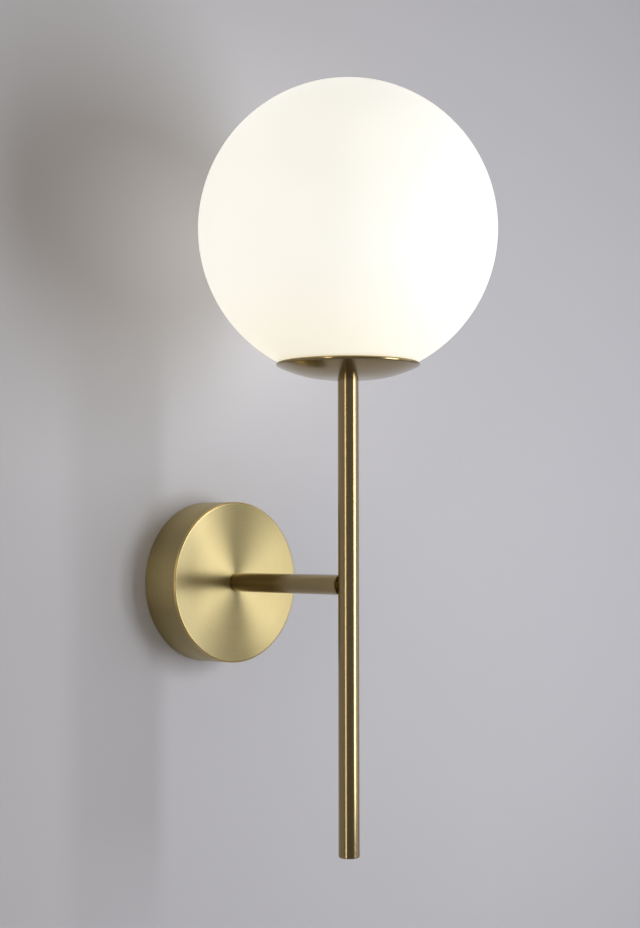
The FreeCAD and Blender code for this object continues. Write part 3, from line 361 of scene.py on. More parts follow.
def zinc_steel(name):
    """Pressed steel with clear zinc plate: cool grey with a faint cloudy bloom and a fine rolled grain."""
    base = tone("zinc")
    tree, shader, place = new_finish(name, {"Metallic": 1.0})
    # Zinc bloom spots are 1 to 3 mm across
    paint(tree, shader, grain(tree, place, 2.5 * MM), shade_of(base, 0.82), base, 0.3, 0.48)
    bump(tree, shader, grain(tree, place, 0.6 * MM), 0.01 * MM, 0.5)


def spring_steel(name):
    """Blued spring strip: dark blue-grey with clouds of a straw tint and a smooth rolled surface."""
    base = tone("spring_steel")
    straw = (base[0] * 1.5, base[1] * 1.25, base[2] * 0.85)
    tree, shader, place = new_finish(name, {"Metallic": 1.0})
    # Heat colours change over a few millimetres
    blued = spread_colour(tree, grain(tree, place, 5 * MM, 2.0), base, straw)
    gloss = spread_value(tree, grain(tree, place, 0.8 * MM), 0.22, 0.36)
    feed(shader, {"Base Color": blued, "Roughness": gloss})


def nickel_plate(name):
    """Nickel plated brass, drawn and rolled: warm silver with a bright gloss and faint wiping marks."""
    base = tone("nickel")
    tree, shader, place = new_finish(name, {"Metallic": 1.0})
    # Wiping marks a few tenths of a millimetre wide
    paint(tree, shader, grain(tree, place, 0.7 * MM, 4.0), shade_of(base, 0.9), base, 0.14, 0.26)


def moulding(name, base_name, spot, low, high, ior, depth=0.01):
    """Moulded or fired surface: fine texture from the mould, small differences of colour, even gloss."""
    base = tone(base_name)
    tree, shader, place = new_finish(name, {"IOR": ior})
    fine = grain(tree, place, spot * MM)
    cloud = grain(tree, place, 12 * MM, 2.0)
    both = add_node(tree, "Mix", {"data_type": "FLOAT", 0: 0.5}, {2: fine, 3: cloud})
    cast = spread_colour(tree, both, shade_of(base, 0.88), shade_of(base, 1.03))
    feed(shader, {"Base Color": cast, "Roughness": spread_value(tree, fine, low, high)})
    bump(tree, shader, fine, depth * MM, 0.6)
    return tree, shader


def frosted_polycarbonate(name):
    """Frosted polycarbonate dome of the bulb: milky, softly glossy, and lit from inside."""
    _, shader = moulding(name, "diffuser", 0.5, 0.34, 0.44, 1.58)
    shader.inputs["Emission Color"].default_value = opaque(tone("glow"))
    shader.inputs["Emission Strength"].default_value = 0.35


def earth_sleeve(name):
    """Green PVC sleeve with one yellow stripe along it, a third of its girth wide."""
    tree, shader = moulding(name, "earth", 0.5, 0.32, 0.44, 1.53)
    place = add_node(tree, "TexCoord", output="UV")
    girth = add_node(tree, "SeparateXYZ", links={0: place}, output=1)
    on_stripe = add_node(tree, "Math", {"operation": "LESS_THAN", 1: 0.34}, {0: girth})
    colours = two_tones(tone("earth"), tone("earth_stripe"))
    feed(shader, {"Base Color": add_node(tree, "Mix", colours, {0: on_stripe}, 2)})


def matt_coat(name, base_name, roughness, cloud, detail, share, stipple, depth):
    """Matt coat of a large surface: slow clouds of colour and a fine stipple, in mm."""
    base = tone(base_name)
    tree, shader, place = new_finish(name, {"Roughness": roughness, "Specular IOR Level": 0.2})
    clouds = grain(tree, place, cloud * MM, detail)
    feed(shader, {"Base Color": spread_colour(tree, clouds, shade_of(base, share), base)})
    bump(tree, shader, grain(tree, place, stipple * MM), depth * MM, 0.3)
    return tree, shader


def pale_floor(name):
    """Pale screed under a matt seal, with a soft cloud of 200 mm."""
    matt_coat(name, "floor", 0.8, 200, 3.0, 0.96, 3, 0.05)


def painted_plaster(name):
    """Emulsion paint on smooth plaster: matt, with roller stipple of 1.5 mm. It is not seen from behind."""
    tree, shader = matt_coat(name, "wall", 0.9, 350, 2.0, 0.985, 1.5, 0.02)
    seen = add_node(tree, "LightPath", output="Is Camera Ray")
    behind = add_node(tree, "NewGeometry", output="Backfacing")
    gone = add_node(tree, "Math", {"operation": "MULTIPLY"}, {0: seen, 1: behind})
    clear = add_node(tree, "BsdfTransparent")
    mixed = add_node(tree, "MixShader", links={0: gone, 1: shader.outputs[0], 2: clear})
    feed(tree.get_output_node("ALL"), {"Surface": mixed})


# Moulded and fired finishes: colour, spots of the texture in mm, least and most roughness, IOR, depth in mm
MOULDED = {
    # Black phenolic, compression moulded: brown-black, half gloss, a faint orange peel
    "phenolic": ("phenolic", 0.5, 0.28, 0.42, 1.6),
    # Natural polyamide, injection moulded: warm white, silky, with a fine spark texture
    "polyamide": ("polyamide", 0.4, 0.38, 0.52, 1.53),
    # Unglazed porcelain: matt warm white, with a grain from the dry pressing
    "porcelain": ("porcelain", 0.3, 0.6, 0.78, 1.5, 0.02),
    # Pressed black glass: deep black, fire polished, with slow waves
    "black_glass": ("black_glass", 2, 0.06, 0.12, 1.52),
    # White solder mask on a light board: smooth, half gloss, with a fine screen texture
    "solder_mask": ("board", 0.4, 0.3, 0.4, 1.55),
    # Silicone gel with phosphor over a light chip: clear yellow and smooth
    "phosphor_gel": ("chip", 0.6, 0.18, 0.28, 1.45),
    # Extruded PVC sleeves of the live and neutral wires: brown and blue, smooth, half gloss
    "live_sleeve": ("live", 0.5, 0.32, 0.44, 1.53),
    "neutral_sleeve": ("neutral", 0.5, 0.32, 0.44, 1.53),
}
BRASSES = (brushed_brass, satin_brass, turned_brass)
OTHERS = (opal_glass, zinc_steel, spring_steel, nickel_plate, frosted_polycarbonate, earth_sleeve)
STAGE_COATS = (pale_floor, painted_plaster)
FINISHES = {make.__name__: make for make in BRASSES + OTHERS + STAGE_COATS}


def finish_of(name):
    """A finish by name, made once. The CAD pieces' plain materials keep names of their own."""
    label = "Visible " + name.replace("_", " ")
    if label not in bpy.data.materials:
        if name in MOULDED:
            moulding(label, *MOULDED[name])
        else:
            FINISHES[name.removesuffix("_Y").removesuffix("_Z")](label)
    return bpy.data.materials[label]


# Shaping


def arc(centre_radius, centre_height, radius, first, last, steps):
    """Points of an arc in an outline, angles in radians from the outward level."""
    points = []
    for step in range(steps + 1):
        angle = first + (last - first) * step / steps
        points.append((centre_radius + radius * cos(angle), centre_height + radius * sin(angle)))
    return points


def crown(centre, radius, first, steps):
    """Points of an arc that ends on the axis, from its first angle."""
    return arc(0, centre, radius, first, pi / 2, steps)[:-1] + [(0, centre + radius)]


def climb(radius, low, high, steps):
    """Points straight up a side, for a thread or ribs."""
    return [(radius, low + (high - low) * step / steps) for step in range(steps + 1)]


def ring(count):
    """Angles of an even ring."""
    return [2 * pi * step / count for step in range(count)]


def wave(height, angle, pitch, rounded=True):
    """Height of a thread, 0 in its root and 1 on its crest."""
    turn = (height / pitch - angle / (2 * pi)) % 1.0
    return 0.5 - 0.5 * cos(2 * pi * turn) if rounded else 1 - abs(2 * turn - 1)


def thread(crest, root, pitch, rounded=False):
    """Shape of a helical thread on the rows at the crest's radius."""

    def reach(radius, height, angle):
        on_thread = abs(radius - crest) < CLOSE
        return root + (crest - root) * wave(height, angle, pitch, rounded) if on_thread else radius

    return reach


def hexagon_reach(width, angle):
    """Radius of a hexagon at an angle."""
    part = (angle + pi / 6) % (pi / 3) - pi / 6
    return width / 2 / cos(part)


def put(name, data, place=(0, 0, 0)):
    """Put a new object in the scene."""
    thing = bpy.data.objects.new(name, data)
    thing.location = place
    bpy.context.scene.collection.objects.link(thing)
    return thing


def new_mesh(name, model, finish=None):
    """Make a mesh of a model, with its finish."""
    mesh = bpy.data.meshes.new(name)
    model.to_mesh(mesh)
    model.free()
    if finish:
        mesh.materials.append(finish_of(finish))
    return mesh


def smooth(mesh, angle=35):
    """Shade a mesh smooth, but for its sharp edges."""
    mesh.shade_smooth()
    mesh.set_sharp_from_angle(angle=radians(angle))


def soften(piece, width, angle=32, harden=True):
    """Break a piece's sharp edges by a width in mm."""
    edge = piece.modifiers.new("broken_edges", "BEVEL")
    edge.width = width * MM
    edge.segments = 2
    edge.limit_method = "ANGLE"
    edge.angle_limit = radians(angle)
    edge.harden_normals = harden


def applied(piece):
    """A piece's mesh with its modifiers applied."""
    bpy.context.view_layer.update()
    graph = bpy.context.evaluated_depsgraph_get()
    return bpy.data.meshes.new_from_object(piece.evaluated_get(graph))


def skin(model, rows):
    """Faces between each row of points and the next; a row of one point closes to a tip."""
    for row, following in zip(rows, rows[1:]):
        for step in range(max(len(row), len(following))):
            corners = [row[step % len(row)], row[(step + 1) % len(row)]]
            corners += [following[(step + 1) % len(following)], following[step % len(following)]]
            corners = list(dict.fromkeys(corners))
            if len(corners) > 2:
                model.faces.new(corners)


def turned(name, outline, finish, axis="Z", origin=None, steps=128, edge=0.15, shape=None):
    """A turned piece from a closed outline of (radius, height) in metres.

    Height runs up Z, or away from the wall for axis Y. Shape, if given, returns the radius for
    (radius, height, angle), as a thread or ribs need. Edge is the width of the broken edges in mm.
    """
    model = bmesh.new()
    rows = []
    for radius, height in outline:
        row = []
        for angle in ring(steps if radius > CLOSE else 1):
            reach = shape(radius, height, angle) if shape and radius > CLOSE else radius
            spot = Vector((reach * cos(angle), reach * sin(angle), height))
            row.append(model.verts.new(spot if axis == "Z" else Vector((spot.x, -spot.z, spot.y))))
        rows.append(row)
    skin(model, rows + rows[:1])
    bmesh.ops.recalc_face_normals(model, faces=model.faces)
    if origin is None:
        origin = ROD_AXIS if axis == "Z" else WALL_AXIS
    piece = put(name, new_mesh(name, model, finish), origin)
    smooth(piece.data)
    if edge:
        soften(piece, edge)
    return piece


def drill(piece, places):
    """Cut round holes: places are (centre, radius, half length, direction) from the piece's origin."""
    model = bmesh.new()
    for centre, radius, half, direction in places:
        turn = Vector(direction).to_track_quat("Z", "Y").to_matrix().to_4x4()
        size = {"segments": 48, "radius1": radius, "radius2": radius, "depth": 2 * half}
        bmesh.ops.create_cone(model, cap_ends=True, matrix=Matrix.Translation(Vector(centre)) @ turn, **size)
    mesh = new_mesh("drill", model)
    bit = put("drill", mesh, piece.location)
    hole = piece.modifiers.new("holes", "BOOLEAN")
    hole.operation = "DIFFERENCE"
    hole.solver = "EXACT"
    hole.object = bit
    whole = applied(piece)
    piece.modifiers.clear()
    piece.data = whole
    bpy.data.objects.remove(bit)
    bpy.data.meshes.remove(mesh)
    smooth(whole)


def join(pieces, name):
    """Make one piece of several, with the first one's place and finishes."""
    model = bmesh.new()
    first = pieces[0]
    for piece in pieces:
        mesh = applied(piece)
        mesh.transform(first.matrix_world.inverted() @ piece.matrix_world)
        model.from_mesh(mesh)
        bpy.data.meshes.remove(mesh)
    whole = new_mesh(name, model)
    for finish in first.data.materials:
        whole.materials.append(finish)
    place = first.location.copy()
    for piece in pieces:
        bpy.data.objects.remove(piece)
    whole.set_sharp_from_angle(angle=radians(35))
    return put(name, whole, place)


def fit(piece, body, node):
    """Let a piece ride on its body and stand for its solid."""
    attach(piece, body)
    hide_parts(node)


def spun(name, outline, finish, slot, node, body="fixture", **options):
    """A turned piece that stands for a solid."""
    fit(turned(name, outline, finish, **options), body, node)


def dress(finish, **edges):
    """Give carried-over solids their finish and broken edges, in mm."""
    for node, edge in edges.items():
        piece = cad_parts[node]
        for slot in piece.material_slots:
            slot.link = "OBJECT"
            slot.material = finish_of(finish)
        soften(piece, edge)


def hex_nut(name, node, axis):
    """A chamfered hexagon nut on a nipple."""
    low, high = span(node, axis)
    bore = reach_of("rod_nipple") + 0.05 * MM
    rise = (NUT_WIDTH / sqrt(3) - NUT_WIDTH / 2) * tan(radians(30))
    # The flats begin just outside the round end faces, in rows that the shape tells apart by their radius
    face, edge, flank, step = NUT_WIDTH * 0.475, NUT_WIDTH * 0.5, NUT_WIDTH * 0.5001, 0.01 * MM
    outline = [(bore, low), (face, low), (edge, low + step), (flank, low + rise)]
    outline += [(flank, high - rise), (edge, high - step), (face, high), (bore, high)]

    def flats(radius, height, angle):
        if radius < NUT_WIDTH * 0.4999:
            return radius
        corner = hexagon_reach(NUT_WIDTH, angle)
        return corner if radius > NUT_WIDTH * 0.50005 else min(corner, NUT_WIDTH / 2 + step)

    finish = "turned_brass_" + axis
    spun(name, outline, finish, "turned_brass", node, axis=axis, steps=96, edge=0.12, shape=flats)


# Pieces


class SCONCE_OT_canopy(bpy.types.Operator):
    """Spin the round canopy and drill its two set-screw holes"""

    bl_idname = "sconce.canopy"
    bl_label = "Canopy"

    def execute(self, context):
        sizes = context.scene.sconce_sizes
        radius, depth = sizes.canopy_diameter / 2, sizes.canopy_depth
        sheet, bevel = sizes.canopy_sheet, sizes.canopy_bevel
        fillet = 0.6 * MM
        outline = [(radius - sheet, 0), (radius, 0), (radius, depth * 0.3), (radius, depth * 0.6)]
        outline += arc(radius - bevel, depth - bevel, bevel, 0, pi / 2, 6)
        outline += [(radius * share, depth) for share in (0.75, 0.5, 0.25)]
        outline += [(NIPPLE_HOLE, depth), (NIPPLE_HOLE, depth - sheet)]
        outline += [(radius - sheet - fillet, depth - sheet), (radius - sheet, depth - sheet - fillet)]
        canopy = turned("canopy_cover", outline, "brushed_brass_Y", "Y", steps=192, edge=0)
        screw_hole, screw_place = 2.1 * MM, -12 * MM
        drill(canopy, [((0, screw_place, side * radius), screw_hole, 4 * MM, (0, 0, 1)) for side in (-1, 1)])
        # The rounding at the rim is as the lathe left it, between the brushed face and the brushed side
        canopy.data.materials.append(finish_of("turned_brass_Y"))
        for face in canopy.data.polygons:
            outwards = hypot(face.center.x, face.center.z) > radius - bevel
            if outwards and -face.center.y > depth - bevel:
                face.material_index = 1
        soften(canopy, 0.12)
        fit(canopy, "fixture", "canopy")
        return {"FINISHED"}


class SCONCE_OT_arm(bpy.types.Operator):
    """Cut and brush the level arm"""

    bl_idname = "sconce.arm"
    bl_label = "Arm"

    def execute(self, context):
        sizes = context.scene.sconce_sizes
        radius, chamfer = sizes.arm_diameter / 2, sizes.tube_chamfer
        bore = radius - sizes.tube_wall
        start, end = span("arm_tube", "Y")
        outline = [(bore, start), (radius, start), (radius, start + (end - start) / 2)]
        outline += [(radius, end - chamfer), (radius - chamfer, end), (bore, end)]
        spun("arm", outline, "satin_brass_Y", "brushed_brass", "arm_tube", axis="Y", steps=96, edge=0.1)
        return {"FINISHED"}


class SCONCE_OT_rod(bpy.types.Operator):
    """Cut and brush the upright rod, bore it for the arm's stud and close its foot"""

    bl_idname = "sconce.rod"
    bl_label = "Rod"

    def execute(self, context):
        sizes = context.scene.sconce_sizes
        radius, chamfer = sizes.rod_diameter / 2, sizes.tube_chamfer
        bore, joint = radius - sizes.tube_wall, sizes.arm_diameter / 2
        low, high = span("rod_tube")
        outline = [(bore, low), (radius - chamfer, low), (radius, low + chamfer), (radius, low * 0.6)]
        outline += [(radius, -joint), (radius, joint), (radius, high * 0.5), (radius, high), (bore, high)]
        rod = turned("rod", outline, "satin_brass_Z", steps=96, edge=0)
        stud_hole = 4.2 * MM
        drill(rod, [((0, radius, 0), stud_hole, 3 * MM, (0, 1, 0))])
        soften(rod, 0.1)
        fit(rod, "fixture", "rod_tube")
        plug, top, edge = reach_of("rod_end_plug"), high_end("rod_end_plug"), 0.25 * MM
        outline = [(0, low), (plug - edge, low), (plug, low + edge), (plug, top), (0, top)]
        options = {"steps": 96, "edge": 0.08}
        spun("rod_foot_plug", outline, "turned_brass_Z", "turned_brass", "rod_end_plug", **options)
        return {"FINISHED"}


class SCONCE_OT_dish(bpy.types.Operator):
    """Spin the shallow dish that cradles the ball"""

    bl_idname = "sconce.dish"
    bl_label = "Dish"

    def execute(self, context):
        sizes = context.scene.sconce_sizes
        radius, flat, bead = sizes.dish_diameter / 2, sizes.dish_flat / 2, sizes.rim_bead / 2
        low, high = span("dish")
        floor = low + sizes.dish_sheet
        bead_radius, bead_height = radius - bead, high - bead

        def wall(reach, start, top):
            rise = top - start
            bend = (reach * reach + rise * rise) / (2 * rise)
            last = asin(reach / bend) - pi / 2
            return arc(flat, start + bend, bend, -pi / 2, last, 40)[:-1]

        # The spun wall runs without a corner into a bead that is rolled round the rim
        meets = radians(-64)
        outer = wall(bead_radius + bead * cos(meets) - flat, low, bead_height + bead * sin(meets))
        inner = wall(bead_radius - bead - flat, floor, bead_height)
        outline = [(NIPPLE_HOLE, low), (flat * 0.7, low)] + outer
        outline += arc(bead_radius, bead_height, bead, meets, pi, 20)
        outline += inner[::-1] + [(NIPPLE_HOLE, floor)]
        spun("dish_cup", outline, "satin_brass_Z", "brushed_brass", "dish", steps=192, edge=0.08)
        return {"FINISHED"}


class SCONCE_OT_globe(bpy.types.Operator):
    """Blow the opal ball and grind its mouth"""

    bl_idname = "sconce.globe"
    bl_label = "Globe"

    def execute(self, context):
        sizes = context.scene.sconce_sizes
        radius, mouth = sizes.globe_diameter / 2, sizes.mouth_diameter / 2
        inside = radius - sizes.glass_thickness
        outline = crown(0, radius, -acos(mouth / radius), 72)
        outline += crown(0, inside, -acos(mouth / inside), 60)[::-1]
        options = {"origin": ROD_AXIS + Vector((0, 0, high_end("globe") - radius)), "edge": 0.25}
        spun("globe_glass", outline, "opal_glass", "opal_glass", "globe", "globe", steps=192, **options)
        return {"FINISHED"}


class SCONCE_OT_bulb(bpy.types.Operator):
    """Make the bulb: contact, insulator, screw cap, housing, diffuser and its light board"""

    bl_idname = "sconce.bulb"
    bl_label = "Bulb"

    def execute(self, context):
        pitch = context.scene.sconce_sizes.bulb_pitch
        tip, foot = span("bulb_contact")[0], low_end("bulb_insulator")
        contact = reach_of("bulb_contact")
        outline = [(0, tip), (contact * 0.45, tip), (contact * 0.8, tip + 0.35 * MM)]
        outline += [(contact, foot), (0, foot)]
        spun("bulb_tip", outline, "nickel_plate", "nickel", "bulb_contact", "bulb", steps=64, edge=0.1)
        low, high = span("bulb_cap")
        crest = reach_of("bulb_cap")
        root = crest - 0.7 * MM
        waist, inner = root - 1 * MM, root - 1.6 * MM
        outline = [(0, foot), (contact, foot), (contact + 0.8 * MM, foot + 0.4 * MM)]
        outline += [(waist - 0.6 * MM, low - 0.5 * MM), (waist, low), (0, low)]
        finish = "black_glass"
        spun("bulb_black_glass", outline, finish, finish, "bulb_insulator", "bulb", steps=96, edge=0.2)
        outline = [(inner, low), (waist, low), (root, low + 1.2 * MM)]
        outline += climb(crest, low + 1.8 * MM, high - 3.6 * MM, 56)
        outline += [(root, high - 3 * MM), (root, high), (inner, high)]
        options = {"steps": 96, "edge": 0, "shape": thread(crest, root, pitch, rounded=True)}
        spun("bulb_screw_cap", outline, "nickel_plate", "nickel", "bulb_cap", "bulb", **options)
        board, brim = low_end("light_board"), reach_of("bulb_housing")
        neck, wall, start = 14 * MM, 1.6 * MM, high + 2 * MM
        inner = neck - 2 * wall
        outline = [(inner, high), (neck - 0.4 * MM, high), (neck, high + 0.4 * MM), (neck, start)]
        for step in range(1, 12):
            share = step / 12
            hollow = 0.27 * MM * sin(pi * share)
            outline.append((neck + (brim - neck) * share - hollow, start + (board - start) * share))
        outline += [(brim, board), (brim - 2 * wall, board), (brim - 2 * wall, board - wall)]
        outline += [(neck - wall, start + wall), (inner, start)]
        spun("bulb_body", outline, "polyamide", "white_plastic", "bulb_housing", "bulb")
        dome = reach_of("bulb_diffuser")
        centre = high_end("bulb_diffuser") - dome
        drop, inside = centre - board, dome - wall
        outline = crown(centre, dome, -asin(drop / dome), 48)
        outline += crown(centre, inside, -asin(drop / inside), 40)[::-1]
        spun("bulb_dome", outline, "frosted_polycarbonate", "diffuser_plastic", "bulb_diffuser", "bulb")
        dress("solder_mask", light_board=0.1, light_driver=0.1)
        dress("phosphor_gel", light_chips=0.1)
        return {"FINISHED"}


class SCONCE_OT_lampholder(bpy.types.Operator):
    """Make the lampholder: ribbed cap and skirt, ceramic core, screw shell and contacts"""

    bl_idname = "sconce.lampholder"
    bl_label = "Lampholder"

    def execute(self, context):
        pitch = context.scene.sconce_sizes.bulb_pitch
        base, seam = span("lampholder_cap")
        top, outer = high_end("lampholder_skirt"), reach_of("lampholder_cap")
        inside, groove = outer - 2 * MM, outer - 0.4 * MM
        bore, neck, mouth = 5.05 * MM, 7.5 * MM, 14.3 * MM
        outline = [(bore, base), (7.2 * MM, base), (neck, base + 0.3 * MM), (neck, base + 4 * MM)]
        for step in range(1, 13):
            angle = pi / 2 * step / 12
            height = base + 16 * MM - 11.5 * MM * cos(angle)
            outline.append((neck + (outer - neck) * sin(angle), height))
        outline += [(outer, seam - 1.2 * MM), (groove, seam - 0.8 * MM), (groove, seam), (inside, seam)]
        outline += [(inside, base + 17 * MM), (neck, base + 8 * MM), (bore, base + 8 * MM)]
        spun("holder_cap", outline, "phenolic", "black_plastic", "lampholder_cap", edge=0.2)
        low_rib, high_rib, lip = seam + 3 * MM, top - 7 * MM, 1 * MM
        outline = [(inside, seam), (groove, seam), (groove, seam + 0.8 * MM), (outer, seam + 1.2 * MM)]
        outline += [(outer, low_rib)] + climb(outer, low_rib + 0.6 * MM, high_rib - 0.6 * MM, 6)
        outline += [(outer, high_rib), (outer, top - lip)]
        outline += arc(outer - lip, top - lip, lip, 0.2, pi / 2, 6)
        outline += [(mouth + lip / 2, top), (mouth, top - lip / 2)]
        outline += [(mouth, top - 2 * lip), (inside, top - 2 * lip)]

        def ribs(radius, height, angle):
            on_rib = low_rib < height < high_rib and abs(radius - outer) < CLOSE
            return radius - 0.45 * MM * (0.5 - 0.5 * cos(40 * angle)) if on_rib else radius

        options = {"steps": 240, "edge": 0.12, "shape": ribs}
        spun("holder_skirt", outline, "phenolic", "black_plastic", "lampholder_skirt", **options)
        low, high = span("lampholder_screw_shell")
        shell = reach_of("lampholder_screw_shell") - 0.05 * MM

        def rolled(radius, height, angle):
            return radius - 0.25 * MM * wave(height, angle, pitch)

        outline = climb(shell - 0.3 * MM, low, high, 72) + climb(shell, low, high, 72)[::-1]
        options = {"steps": 96, "edge": 0, "shape": rolled}
        spun("holder_screw_shell", outline, "turned_brass_Z", "nickel", "lampholder_screw_shell", **options)
        dress("porcelain", lampholder_core=0.3)
        dress("nickel_plate", lampholder_centre_contact=0.08)
        dress("turned_brass_Z", lampholder_terminals=0.15)
        dress("zinc_steel", lampholder_terminal_screws=0.1)
        return {"FINISHED"}


class SCONCE_OT_globe_clips(bpy.types.Operator):
    """Bend the three spring leaves that hold the ball and rivet them to their plate"""

    bl_idname = "sconce.globe_clips"
    bl_label = "Globe clips"

    def execute(self, context):
        plate, tip = span("spring_clips")
        half, leaf = 4 * MM, 0.5 * MM
        foot = plate + leaf / 2
        crest, crest_height = high_end("spring_clips", 0) - leaf / 2, tip - 6 * MM
        line = [(13 * MM, foot), (20 * MM, foot), (21.6 * MM, plate + 0.75 * MM)]
        bend = ((2.2, -1.1), (0.5, -0.5), (0.05, 0.2), (0.5, 1.1))
        line += [(crest - inwards * MM, crest_height + up * MM) for inwards, up in bend]
        line.append((crest - 3 * MM, tip))
        leaves = []
        for angle in ring(3):
            spin = Matrix.Rotation(angle, 3, "Z")
            model = bmesh.new()
            rows = []
            for index, (reach, height) in enumerate(line):
                before, after = line[max(index - 1, 0)], line[min(index + 1, len(line) - 1)]
                way = (Vector(after) - Vector(before)).normalized()
                side = Vector((-way.y, way.x)) * leaf / 2
                wide = half * (0.75 if index == len(line) - 1 else 1.0)
                row = []
                for aside, lift in ((-wide, -1), (wide, -1), (wide, 1), (-wide, 1)):
                    spot = Vector((reach + side.x * lift, aside, height + side.y * lift))
                    row.append(model.verts.new(spin @ spot))
                rows.append(row)
            skin(model, rows)
            model.faces.new(rows[0])
            model.faces.new(rows[-1][::-1])
            bmesh.ops.recalc_face_normals(model, faces=model.faces)
            piece = put("leaf", new_mesh("leaf", model, "spring_steel"), ROD_AXIS)
            smooth(piece.data, 50)
            soften(piece, 0.12, 60, False)
            leaves.append(piece)
        fit(join(leaves, "clip_leaves"), "fixture", "spring_clips")
        low, high = span("clip_rivets")
        circle, shank = 17 * MM, 1.2 * MM
        outline = [(0, low), (shank, low), (shank, plate + leaf), (2 * MM, plate + leaf)]
        outline += [(1.9 * MM, high - 0.35 * MM), (shank, high - 0.05 * MM), (0, high)]
        rivets = []
        for angle in ring(3):
            spot = ROD_AXIS + Vector((circle * cos(angle), circle * sin(angle), 0))
            rivets.append(turned("rivet", outline, "nickel_plate", origin=spot, steps=40, edge=0.05))
        fit(join(rivets, "clip_rivet_heads"), "fixture", "clip_rivets")
        dress("zinc_steel", clip_plate=0.15)
        dress("turned_brass_Z", dish_spacer=0.15)
        return {"FINISHED"}


class SCONCE_OT_nipples(bpy.types.Operator):
    """Cut the threaded nipples and make their nuts, washers and bush"""

    bl_idname = "sconce.nipples"
    bl_label = "Nipples and nuts"

    def execute(self, context):
        pitch = context.scene.sconce_sizes.thread_pitch
        bore, crest = 3.5 * MM, reach_of("rod_nipple")
        root = crest - 0.45 * MM
        for name, node, axis in (("rod_top_", "rod_nipple", "Z"), ("arm_base_", "arm_nipple", "Y")):
            low, high = span(node, axis)
            outline = [(bore, low), (root - 0.1 * MM, low)]
            outline += climb(crest, low + 0.5 * MM, high - 0.5 * MM, int((high - low) / pitch * 4))
            outline += [(root - 0.1 * MM, high), (bore, high)]
            options = {"axis": axis, "steps": 48, "edge": 0, "shape": thread(crest, root, pitch)}
            spun(name + "nipple", outline, "turned_brass_" + axis, "turned_brass", node, **options)
        hex_nut("dish_hex_nut", "dish_nut", "Z")
        hex_nut("arm_hex_nut", "arm_nut", "Y")
        start, end = span("nipple_bush", "Y")
        barrel, flange, lip = 3.45 * MM, 4.7 * MM, 0.7 * MM
        way = barrel - 0.8 * MM
        outline = [(way, start)] + arc(flange - lip, start + lip, lip, -pi / 2, 0, 5)
        outline += [(flange, start + 2 * lip), (barrel, start + 2 * lip), (barrel, end), (way, end)]
        options = {"axis": "Y", "steps": 64, "edge": 0.1}
        spun("wire_bush", outline, "polyamide", "white_plastic", "nipple_bush", **options)
        dress("zinc_steel", arm_lock_washer=0.08, dish_lock_washer=0.08, backing_plate=0.2)
        return {"FINISHED"}


class SCONCE_OT_set_screws(bpy.types.Operator):
    """Make the two socket set screws that hold the canopy"""

    bl_idname = "sconce.set_screws"
    bl_label = "Set screws"

    def execute(self, context):
        node = "canopy_set_screws"
        depth_place = (low_end(node, 1) + high_end(node, 1)) / 2
        long, socket, crest = 8 * MM, 2 * MM, reach_of(node)
        root = crest - 0.3 * MM
        winding = thread(crest, root, 0.7 * MM)

        def shape(radius, height, angle):
            in_socket = abs(radius - socket / 2) < CLOSE
            return hexagon_reach(socket, angle) if in_socket else winding(radius, height, angle)

        outline = [(0, long), (1.2 * MM, long), (root, long - 0.6 * MM)]
        outline += climb(crest, long - 0.8 * MM, 0.4 * MM, 36)
        outline += [(root, 0), (socket / 2, 0), (socket / 2, 2.2 * MM), (0, 2.6 * MM)]
        screws = []
        for side in (-1, 1):
            screw = turned("screw", outline, "zinc_steel", origin=(0, 0, 0), steps=48, edge=0, shape=shape)
            screw.data.transform(Matrix.Rotation(pi if side > 0 else 0, 4, "X"))
            screw.location = (0, depth_place, side * high_end(node))
            screws.append(screw)
        fit(join(screws, "set_screws"), "fixture", node)
        return {"FINISHED"}


class SCONCE_OT_bracket(bpy.types.Operator):
    """Finish the wall bracket, the terminal block and the earth point"""

    bl_idname = "sconce.bracket"
    bl_label = "Wall bracket"

    def execute(self, context):
        dress("zinc_steel", wall_bracket=0.35, terminal_screws=0.1, terminal_block_screw=0.2, earth_screw=0.3)
        dress("polyamide", terminal_block=0.5)
        dress("turned_brass_Z", terminal_inserts=0.1)
        dress("nickel_plate", earth_ring_terminal=0.12)
        return {"FINISHED"}


class SCONCE_OT_tube_fittings(bpy.types.Operator):
    """Finish the bushes, the stud and the slug inside the tubes"""

    bl_idname = "sconce.tube_fittings"
    bl_label = "Fittings in the tubes"

    def execute(self, context):
        dress("turned_brass_Z", rod_tee=0.15, rod_top_insert=0.15)
        dress("turned_brass_Y", arm_base_insert=0.15, arm_tip_insert=0.15)
        dress("satin_brass_Y", rod_stud=0.1)
        return {"FINISHED"}


# The neutral wire's way through arm and rod, in mm; the live wire runs beside it, mirrored
TUBE_ROUTE = (
    (1.05, -9.0, 0.0), (1.05, -51.2, 0.4), (1.37, -89.6, -0.8), (1.05, -120.5, 0.0), (1.05, -145.6, 0.1),
    (1.05, -145.6, 13.2), (1.26, -145.2, 37.4), (1.58, -144.6, 74.01), (1.16, -143.4, 112.49),
    (1.05, -144.0, 151.7), (9.0, -144.0, 157.7), (9.0, -144.0, 160.7),
)
WIRE_ROUTES = {
    "wire_live": (
        "live_sleeve",
        "brown_insulation",
        ((-10.0, -9.0, -15.0), (-10.0, -9.0, 0.0), *((-x, y, z) for x, y, z in TUBE_ROUTE)),
    ),
    "wire_neutral": ("neutral_sleeve", "blue_insulation", ((0.0, -9.0, -15.0), *TUBE_ROUTE)),
    "wire_earth": (
        "earth_sleeve",
        "green_insulation",
        ((10.0, -9.0, -15.0), (10.0, -9.0, -2.0), (17.0, -6.0, 12.0), (17.0, -3.7, 27.0), (5.4, -3.7, 27.0)),
    ),
}


